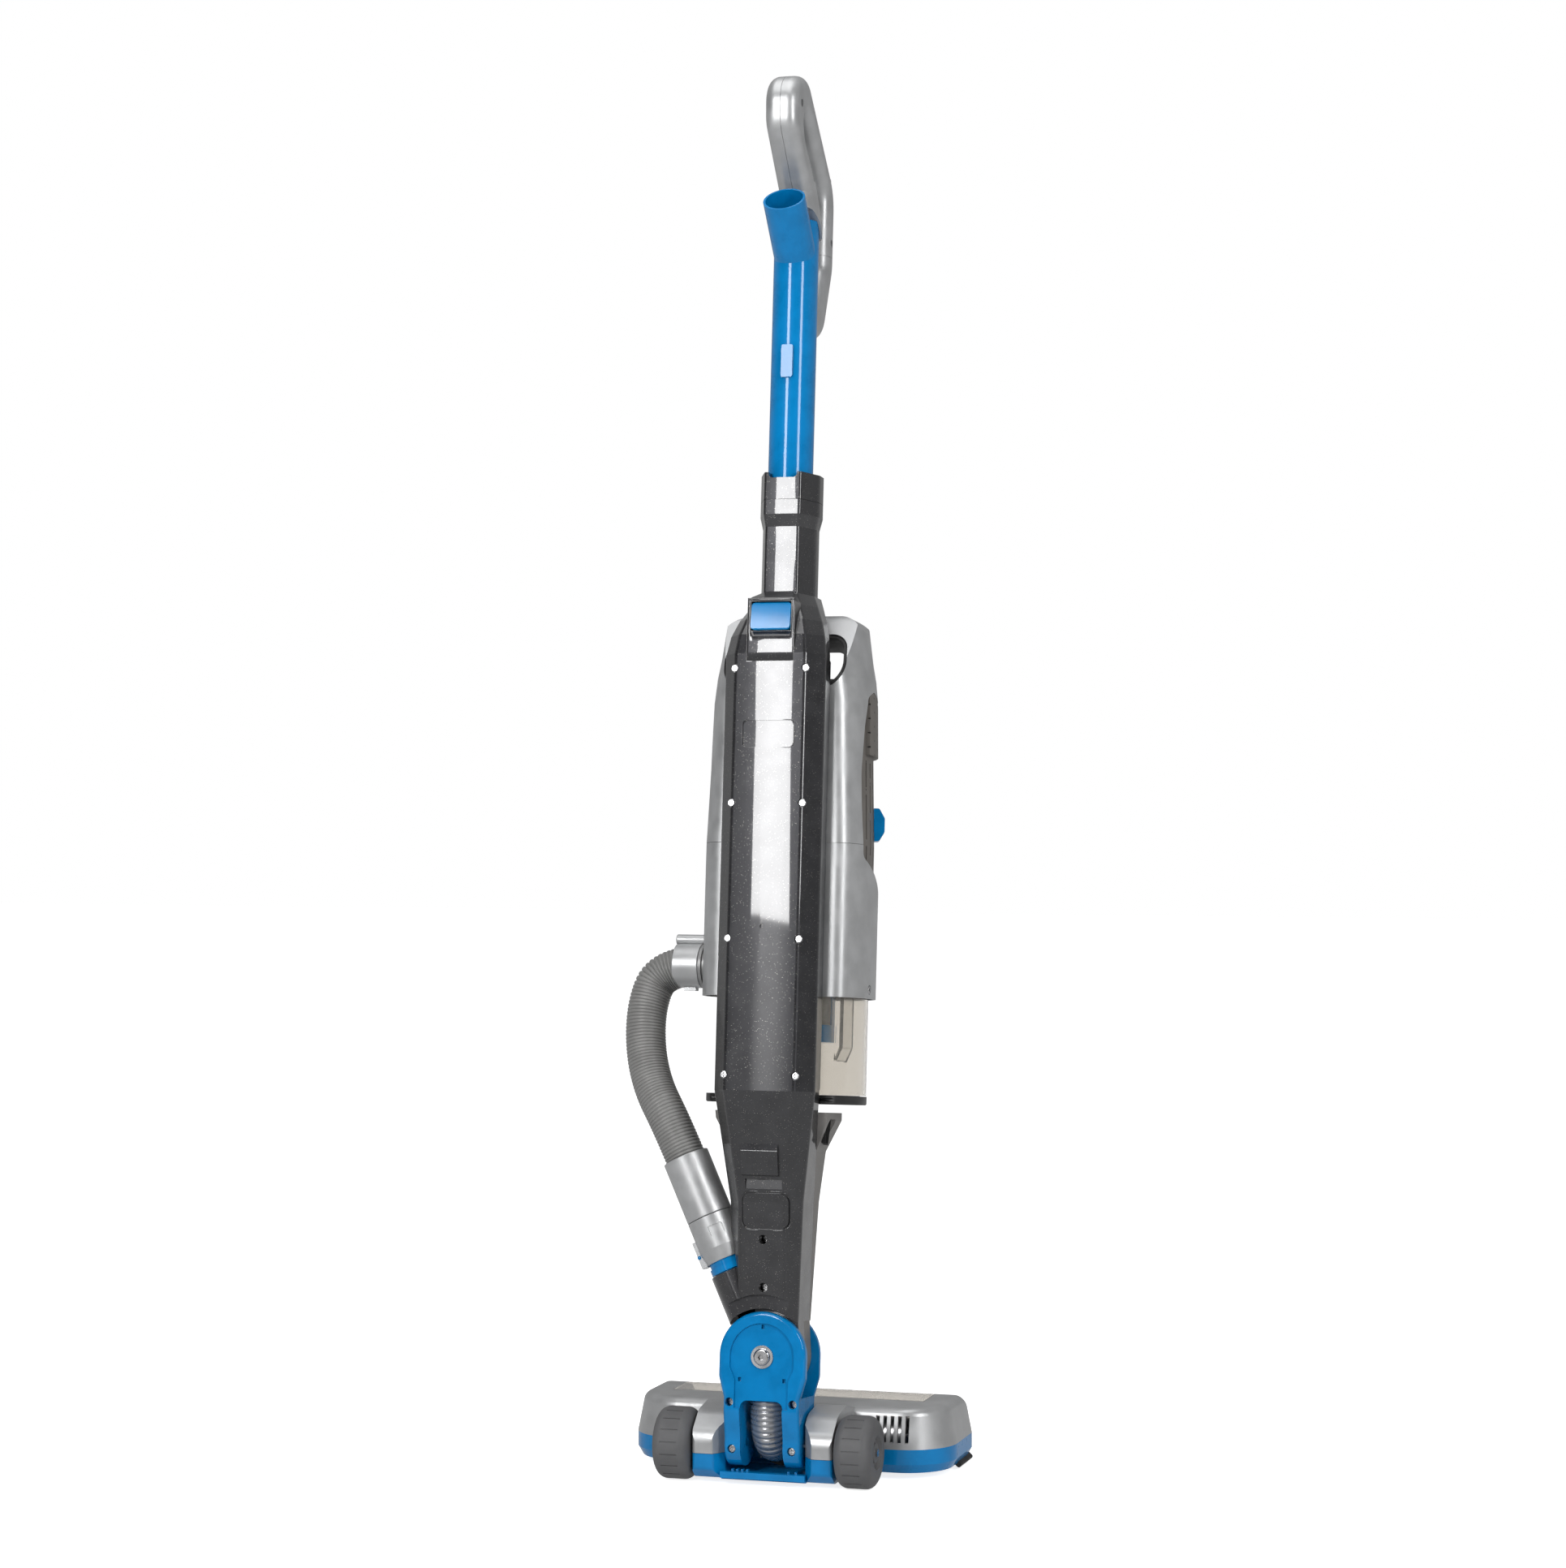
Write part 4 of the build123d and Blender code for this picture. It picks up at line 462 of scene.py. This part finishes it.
def grille_skin(name, colour, rough):
    """Matte grille moulding: small dark dots in staggered rows between the slots."""
    mat = moulding(name, colour, rough, wear=0.3, fine=1500.0, depth=0.00006, specular=0.3)
    tree = mat.node_tree
    shader = tree.nodes["Principled BSDF"]
    tone = shader.inputs["Base Color"].links[0].from_socket
    pins = Matrix.Rotation(-LEAN, 3, "X") @ Vector((0, TILT_Y, TILT_Z))
    upright = add_node(tree, "ShaderNodeMapping")
    upright.inputs["Rotation"].default_value = (-LEAN, 0, 0)
    upright.inputs["Location"].default_value = (0, CANISTER_AXIS - pins.y, TILT_Z - pins.z)
    tree.links.new(on_object(tree), upright.inputs["Vector"])
    split = add_node(tree, "ShaderNodeSeparateXYZ")
    tree.links.new(upright.outputs[0], split.inputs[0])
    forward = math_node(tree, "MULTIPLY", split.outputs["Y"], -1.0)
    turn = math_node(tree, "ARCTAN2", split.outputs["X"], forward)
    column = math_node(tree, "MULTIPLY", turn, 1 / GRILLE_STEP)
    odd = math_node(tree, "FRACT", math_node(tree, "MULTIPLY", math_node(tree, "FLOOR", column), 0.5))
    row = math_node(tree, "ADD", math_node(tree, "MULTIPLY", split.outputs["Z"], 1 / DOT_PITCH), odd)
    squares = []
    for count, pitch in ((column, GRILLE_STEP * GRILLE_RADIUS), (row, DOT_PITCH)):
        off_middle = math_node(tree, "SUBTRACT", math_node(tree, "FRACT", count), 0.5)
        squares.append(math_node(tree, "POWER", math_node(tree, "MULTIPLY", off_middle, pitch), 2.0))
    reach = math_node(tree, "SQRT", math_node(tree, "ADD", *squares))
    dot = step_node(tree, reach, DOT_RADIUS * (1 + DOT_BLUR), DOT_RADIUS * (1 - DOT_BLUR))
    tree.links.new(mix_colour(tree, dot, tone, DOT_COLOUR), shader.inputs["Base Color"])
    return mat


GRAPHITE = (0.037, 0.037, 0.040)
BLUE = (0.0004, 0.160, 0.398)
SILVER = (0.43, 0.435, 0.44)
finish = {
    "graphite": moulding("graphite_gloss", GRAPHITE, 0.35, coat=1.0, coat_rough=0.03, metallic=0.6,
                         flecks=(1600.0, 0.09, (0.48, 0.455, 0.42)), wear=0.35, specular=0.2),
    "blue": moulding("blue_gloss", BLUE, 0.30, coat=0.6, coat_rough=0.05, wear=0.04, specular=0.05),
    "silver": moulding("silver_pearl", SILVER, 0.42, coat=0.10, coat_rough=0.12, metallic=0.65,
                       flecks=(5200.0, 0.10, (0.58, 0.58, 0.58)), wear=0.2),
    "wheel_grey": moulding("wheel_tread", (0.095, 0.095, 0.098), 0.55, wear=0.5, fine=1800.0, depth=0.00008,
                           specular=0.3),
    "hose_grey": moulding("hose_skin", (0.195, 0.193, 0.188), 0.42, coat=0.10, coat_rough=0.25,
                          metallic=0.10, wear=0.3, specular=0.3),
    "airway_grey": moulding("airway_skin", (0.36, 0.365, 0.38), 0.28, coat=0.3, metallic=0.7, wear=0.2),
    "grille_taupe": grille_skin("grille_moulding", (0.125, 0.115, 0.105), 0.5),
    "black": moulding("black_skin", (0.014, 0.014, 0.014), 0.42, wear=0.4),
    "soft_black": moulding("rubber_skin", (0.012, 0.012, 0.012), 0.6, wear=0.3, fine=1400.0, depth=0.00008),
    "bristle": moulding("bristle_nylon", (0.02, 0.02, 0.023), 0.35, wear=0.1),
    "clear": clear_moulding("clear_bin", (0.75, 0.72, 0.67), 0.015),
    "zinc": plated("zinc_plate", (0.48, 0.48, 0.49), 0.24),
    "metal_can": plated("drawn_can", (0.55, 0.55, 0.56), 0.32),
    "board": moulding("board_green", (0.01, 0.16, 0.05), 0.4, wear=0.1),
    "white_fan": moulding("fan_nylon", (0.72, 0.72, 0.69), 0.4, wear=0.1),
    "filter_white": cloth("filter_cloth", (0.42, 0.43, 0.42), 900.0),
    "felt": cloth("felt_pile", (0.03, 0.03, 0.03), 1600.0),
}

# Nodes whose finish departs from the one of their slot: the hose inlet and the foot of the spine get darker
# copies of the silver, painted shade; the baffle gets a clear plastic of its own
own_finish_and_painted_shade = {
    # Darker grey copy of the silver on the hose inlet: painted shade
    "hose_inlet": moulding("inlet_pearl_painted_shade", (0.24, 0.24, 0.24), 0.42, metallic=0.5, wear=0.2),
    # Darker, warmer copy of the silver on the foot of the spine: painted shade with a painted warm
    # reflection
    "spine_front_shell": moulding("foot_pearl_painted_shade", (0.18, 0.172, 0.165), 0.5, metallic=0.15, wear=0.2,
                                  specular=0.25),
    "dust_baffle": clear_moulding("clear_baffle", (0.70, 0.69, 0.65), 0.05),
}


def set_material(obj, mat):
    """Give an object one material."""
    obj.data.materials.clear()
    obj.data.materials.append(mat)


for name, obj in nodes.items():
    set_material(obj, own_finish_and_painted_shade.get(name, finish[slot_of[name]]))

# Shapes in mesh code


def skin(name, verts, faces, smooth=True):
    """New mesh object of points and faces."""
    mesh = bpy.data.meshes.new(name)
    mesh.from_pydata(verts, [], faces)
    mesh.update()
    if smooth:
        mesh.shade_smooth()
    obj = bpy.data.objects.new(name, mesh)
    scene.collection.objects.link(obj)
    return obj


def ring_points(middle, across, up, radius, sides):
    """Points round a circle about its middle."""
    points = []
    for j in range(sides):
        angle = 2 * math.pi * j / sides
        points.append(middle + (across * math.cos(angle) + up * math.sin(angle)) * radius)
    return points


def tube_faces(rings, sides, first=0):
    """Faces that join rings of points one after another, the first point given by its number."""
    faces = []
    for k in range(rings - 1):
        low, high = first + k * sides, first + (k + 1) * sides
        for j in range(sides):
            n = (j + 1) % sides
            faces.append((low + j, low + n, high + n, high + j))
    return faces


def end_faces(rings, sides):
    """Faces that close the first and the last ring of a tube."""
    return [tuple(reversed(range(sides))), tuple(range((rings - 1) * sides, rings * sides))]


# Hoses: a smooth line drawn by the points of the route, and a ribbed skin swept along it


def smooth_route(name, points):
    """Places read from a NURBS line that has the route's points as its control points."""
    curve = bpy.data.curves.new(name, "CURVE")
    curve.dimensions = "3D"
    curve.resolution_u = 48
    spline = curve.splines.new("NURBS")
    spline.points.add(len(points) - 1)
    for knot, place in zip(spline.points, points):
        knot.co = (*place, 1)
    spline.order_u = 3
    spline.use_endpoint_u = True
    holder = bpy.data.objects.new(name, curve)
    scene.collection.objects.link(holder)
    line = bpy.data.meshes.new_from_object(holder)
    places = [v.co.copy() for v in line.vertices]
    bpy.data.objects.remove(holder)
    bpy.data.curves.remove(curve)
    bpy.data.meshes.remove(line)
    return places


def run_length(places):
    """Length of a line of places."""
    return sum((b - a).length for a, b in zip(places, places[1:]))


def even_places(places, count):
    """The same line at even steps along it, with its direction at each step."""
    step = run_length(places) / count
    row, done, i = [], 0.0, 0
    for k in range(count + 1):
        want = k * step
        while i < len(places) - 2 and done + (places[i + 1] - places[i]).length < want:
            done += (places[i + 1] - places[i]).length
            i += 1
        span = places[i + 1] - places[i]
        row.append((places[i] + span.normalized() * (want - done), span.normalized()))
    return row


def ribbed_skin(name, places, radius, pitch, depth, sides=44, rings_per_rib=8):
    """Tube of round ribs with narrow grooves between them, at an even pitch, closed at both ends."""
    ribs = round(run_length(places) / pitch)
    row = even_places(places, ribs * rings_per_rib)
    verts = []
    across = row[0][1].orthogonal().normalized()
    for k, (middle, way) in enumerate(row):
        across = (across - way * across.dot(way)).normalized()
        off_crest = 2 * (k % rings_per_rib) / rings_per_rib - 1
        ring_radius = radius - depth * (1 - math.sqrt(1 - off_crest * off_crest))
        verts += ring_points(middle, across, way.cross(across), ring_radius, sides)
    return skin(name, verts, tube_faces(len(row), sides) + end_faces(len(row), sides))


def main_hose():
    """Ribbed hose from the canister's inlet down into the cuff at the foot of the spine."""
    radius, pitch, depth = 0.0163, 0.00275, 0.0015
    route = [(74.5, -26, 409), (108.5, -26, 409), (120, -18, 371), (111.5, -7, 318), (80.83, 10, 273.91),
             (55.48, 10, 219.53)]
    line = smooth_route("main_hose_route", [leaned(*p) for p in route])
    hose = ribbed_skin("ribbed_hose", line, radius, pitch, depth)
    set_material(hose, finish["hose_grey"])
    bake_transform(hose)
    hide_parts("main_hose")


def airway_hose():
    """Short ribbed hose behind the fork's window, from the fork down into the head."""
    radius, pitch, depth = 0.015, 0.0036, 0.0016
    route = [(0, -3.1, 65.5), (0, 0.37, 28), (0, -55, 28), (0, -60, 28)]
    line = smooth_route("airway_route", [level(*p) for p in route])
    hose = ribbed_skin("airway_ribs", line, radius, pitch, depth, sides=36)
    set_material(hose, finish["airway_grey"])
    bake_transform(hose)
    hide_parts("airway_hose")


# Brush and spring


def strand_points(middle, ends, thick, corners):
    """Rings of points at the ends of a strand; each end is a reach, a place along the roll and a turn."""
    points = []
    for reach, along, turn in ends:
        for corner in range(corners):
            t = 2 * math.pi * corner / corners
            angle = turn + thick * math.sin(t) / reach
            x = along + thick * math.cos(t)
            points.append(middle + Vector((x, -reach * math.sin(angle), reach * math.cos(angle))))
    return points


def bristles():
    """Four spiral rows of fine tufts on the sleeve of the brush roll."""
    draw = random.Random(7)
    rows, tufts, strands, corners, sleeve_sides = 4, 190, 5, 3, 48
    half, end_gap, sleeve_r, tip_r, thick, root = 0.099, 0.003, 0.0152, 0.0220, 0.00022, 0.0002
    sweep, start_turn = 130, -90
    loose_along, loose_turn, lean_along, lean_turn, uneven = 0.0004, 0.05, 0.0008, 0.04, 0.0006
    brush_y, brush_z = -118, 25
    middle = level(0, brush_y, brush_z)
    verts = []
    for x in (-half, half):
        for j in range(sleeve_sides):
            angle = 2 * math.pi * j / sleeve_sides
            verts.append(middle + Vector((x, sleeve_r * math.cos(angle), sleeve_r * math.sin(angle))))
    faces = tube_faces(2, sleeve_sides) + end_faces(2, sleeve_sides)
    for row in range(rows):
        for i in range(tufts):
            share = 2 * (i / (tufts - 1)) - 1
            turn = math.radians(row * 360 / rows + sweep * abs(share) + start_turn)
            for _ in range(strands):
                x = share * (half - end_gap) + draw.uniform(-loose_along, loose_along)
                foot_turn = turn + draw.uniform(-loose_turn, loose_turn)
                tip_x = x + draw.uniform(-lean_along, lean_along)
                tip_turn = foot_turn + draw.uniform(-lean_turn, lean_turn)
                tip = tip_r - draw.uniform(0, uneven)
                first = len(verts)
                ends = ((sleeve_r - root, x, foot_turn), (tip, tip_x, tip_turn))
                verts += strand_points(middle, ends, thick, corners)
                faces += tube_faces(2, corners, first)
                faces.append(tuple(range(first + corners, first + 2 * corners)))
    brush = skin("brush_tufts", verts, faces, smooth=False)
    set_material(brush, finish["bristle"])
    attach(brush, "brush")
    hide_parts("brush_bristles")


def button_coil():
    """Spring behind the button."""
    turns, coil_r, wire, foot, top, mid = 3.5, 3.2, 0.35, 36.9, 42.5, 684.3
    steps, sides = 126, 10
    verts = []
    for i in range(steps + 1):
        a = 2 * math.pi * turns * i / steps
        q = foot + (top - foot) * i / steps
        for j in range(sides):
            b = 2 * math.pi * j / sides
            r = coil_r + wire * math.cos(b)
            verts.append(leaned(r * math.cos(a), q + wire * math.sin(b), mid + r * math.sin(a)))
    coil = skin("button_coil", verts, tube_faces(steps + 1, sides) + end_faces(steps + 1, sides))
    set_material(coil, finish["zinc"])
    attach(coil, "spine")
    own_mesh(coil)
    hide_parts("button_spring")


# Raised lines, marks and linings that lie on the mouldings


def rear_place(node, x, z):
    """Place and direction of a node's rear face, x and z in millimetres on the upright body."""
    behind = 150
    start = leaned(x, behind, z)
    _, place, normal, _ = nodes[node].ray_cast(start, (leaned(x, 0, z) - start).normalized())
    return place, normal


def rounded_frame(wide, high, corner, steps=8):
    """Points of a rounded rectangle about its middle, round once."""
    points = []
    for quarter, (sx, sz) in enumerate(((1, 1), (-1, 1), (-1, -1), (1, -1))):
        for i in range(steps + 1):
            a = math.pi / 2 * (quarter + i / steps)
            x = sx * (wide / 2 - corner) + corner * math.cos(a)
            z = sz * (high / 2 - corner) + corner * math.sin(a)
            points.append((x, z))
    return points


def raised_line(name, row, radius, body, mat):
    """Half-round closed line along a row of places, each with the direction of the face under it."""
    section, rise, sink = 7, 0.8, 0.1
    verts, faces = [], []
    for i, (place, normal) in enumerate(row):
        way = (row[(i + 1) % len(row)][0] - row[i - 1][0]).normalized()
        side = normal.cross(way).normalized()
        for j in range(section):
            a = math.pi * j / (section - 1)
            verts.append(place + side * radius * math.cos(a) + normal * radius * (rise * math.sin(a) - sink))
    for i in range(len(row)):
        n = (i + 1) % len(row)
        for j in range(section):
            k = (j + 1) % section
            faces.append((i * section + j, n * section + j, n * section + k, i * section + k))
    line = skin(name, verts, faces)
    set_material(line, mat)
    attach(line, body)


def spine_lines():
    """Rim of the bare recess high on the spine, and the rounded square below the hook."""
    lines = (("badge_rim", 0, 590.5, 43.2, 22.2, 4.6, 0.35), ("dock_rim", -3, 215, 39.6, 30.6, 7.8, 0.45))
    for name, x, z, wide, high, corner, radius in lines:
        outline = rounded_frame(wide, high, corner)
        row = [rear_place("spine_rear_shell", x + dx, z + dz) for dx, dz in outline]
        raised_line(name, row, radius / 1000, "spine", finish["graphite"])


def button_apron():
    """Crowned face round the button: the same gentle curve across as the spine below it."""
    half, rim, low, high, back, crown_r = 19.4, 18.1, 648.4, 698.8, 52.65, 303.0
    pocket_w, pocket_low, pocket_high, steps = 17.0, 672.2, 696.4, 8
    xs = [-half, -rim, -pocket_w]
    xs += [-pocket_w + pocket_w * i / steps for i in range(1, 2 * steps)]
    xs += [pocket_w, rim, half]
    zs = [low, 656, 664, pocket_low, 680, 688, pocket_high, high]
    verts, faces = [], []
    for z in zs:
        for x in xs:
            verts.append(leaned(x, back + (half * half - x * x) / (2 * crown_r), z))
    for k in range(len(zs) - 1):
        for i in range(len(xs) - 1):
            inside = abs(xs[i] + xs[i + 1]) / 2 < pocket_w and pocket_low <= zs[k] < pocket_high
            if not inside:
                a = k * len(xs) + i
                faces.append((a, a + len(xs), a + len(xs) + 1, a + 1))
    apron = skin("button_apron", verts, faces)
    thick = apron.modifiers.new("edge", "SOLIDIFY")
    thick.thickness = 0.0007
    thick.offset = -1
    set_material(apron, finish["graphite"])
    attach(apron, "spine")


def seen_on(node, px, py):
    """Place and direction of a node's face where the camera sees it at a pixel of the photograph."""
    per_pixel = camera.data.sensor_width / camera.data.lens / PHOTO_HIGH
    right = LOOK.cross(Vector((0, 0, 1))).normalized()
    across = right * (px - PHOTO_WIDE / 2) * per_pixel
    up = Vector((0, 0, PHOTO_HIGH / 2 - py)) * per_pixel
    way = LOOK.normalized() + across + up
    _, place, normal, _ = nodes[node].ray_cast(camera.location, way.normalized())
    return place, normal


def cuff_dot():
    """Small blue lock mark on the lower cuff of the hose."""
    sides, crown, top_r, top_rise, foot_r, foot_rise = 20, 0.0006, 0.0013, 0.0005, 0.0017, -0.0002
    place, normal = seen_on("hose_lower_cuff", LOCK_MARK_PX, LOCK_MARK_PY)
    across = normal.orthogonal().normalized()
    up = normal.cross(across)
    verts = [place + normal * crown]
    for radius, rise in ((top_r, top_rise), (foot_r, foot_rise)):
        verts += [p + normal * rise for p in ring_points(place, across, up, radius, sides)]
    top, foot = 1, 1 + sides
    faces = [(0, top + j, top + (j + 1) % sides) for j in range(sides)]
    for j in range(sides):
        n = (j + 1) % sides
        faces.append((top + j, foot + j, foot + n, top + n))
    faces.append(tuple(range(2 * sides, sides, -1)))
    dot = skin("cuff_dot", verts, faces)
    set_material(dot, finish["blue"])
    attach(dot, "spine")


def seat_lining():
    """Dark lining of the drop-shaped recess in the side of the canister's seat."""
    floor_x, depth, dish, wall = -38.7, 3.4, 0.6, 0.0004
    edge = [(-10.5, 286.6), (6.4, 286.6), (3.0, 269.4), (-3.4, 267.6)]
    sides = len(edge)
    middle = Vector((sum(q for q, z in edge) / sides, sum(z for q, z in edge) / sides))
    rings = ((1.0, floor_x - depth), (0.97, floor_x), (0.45, floor_x - dish))
    verts = []
    for share, x in rings:
        for q, z in edge:
            p = middle + (Vector((q, z)) - middle) * share
            verts.append(leaned(x, p.x, p.y))
    faces = tube_faces(len(rings), sides)
    faces.append(end_faces(len(rings), sides)[1])
    lining = skin("seat_lining", verts, faces, smooth=False)
    thick = lining.modifiers.new("wall", "SOLIDIFY")
    thick.thickness = wall
    set_material(lining, finish["soft_black"])
    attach(lining, "spine")


def baffle_edge():
    """Dark thick edge of the clear baffle in the dust bin, down its outer side and round its lip."""
    run = [(-50.2, 400), (-50.2, 345.5), (-49.4, 342.8), (-45.4, 333.6)]
    near, far, wide = -40.2, -41.4, 2.2
    section = ((0, near), (0, far), (wide, far), (wide, near))
    verts = []
    for x, z in run:
        for side, q in section:
            verts.append(leaned(x + side, q, z))
    faces = tube_faces(len(run), len(section)) + end_faces(len(run), len(section))
    edge = skin("baffle_edge", verts, faces, smooth=False)
    set_material(edge, finish["black"])
    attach(edge, "canister")


main_hose()
airway_hose()
bristles()
button_coil()
spine_lines()
button_apron()
cuff_dot()
seat_lining()
baffle_edge()
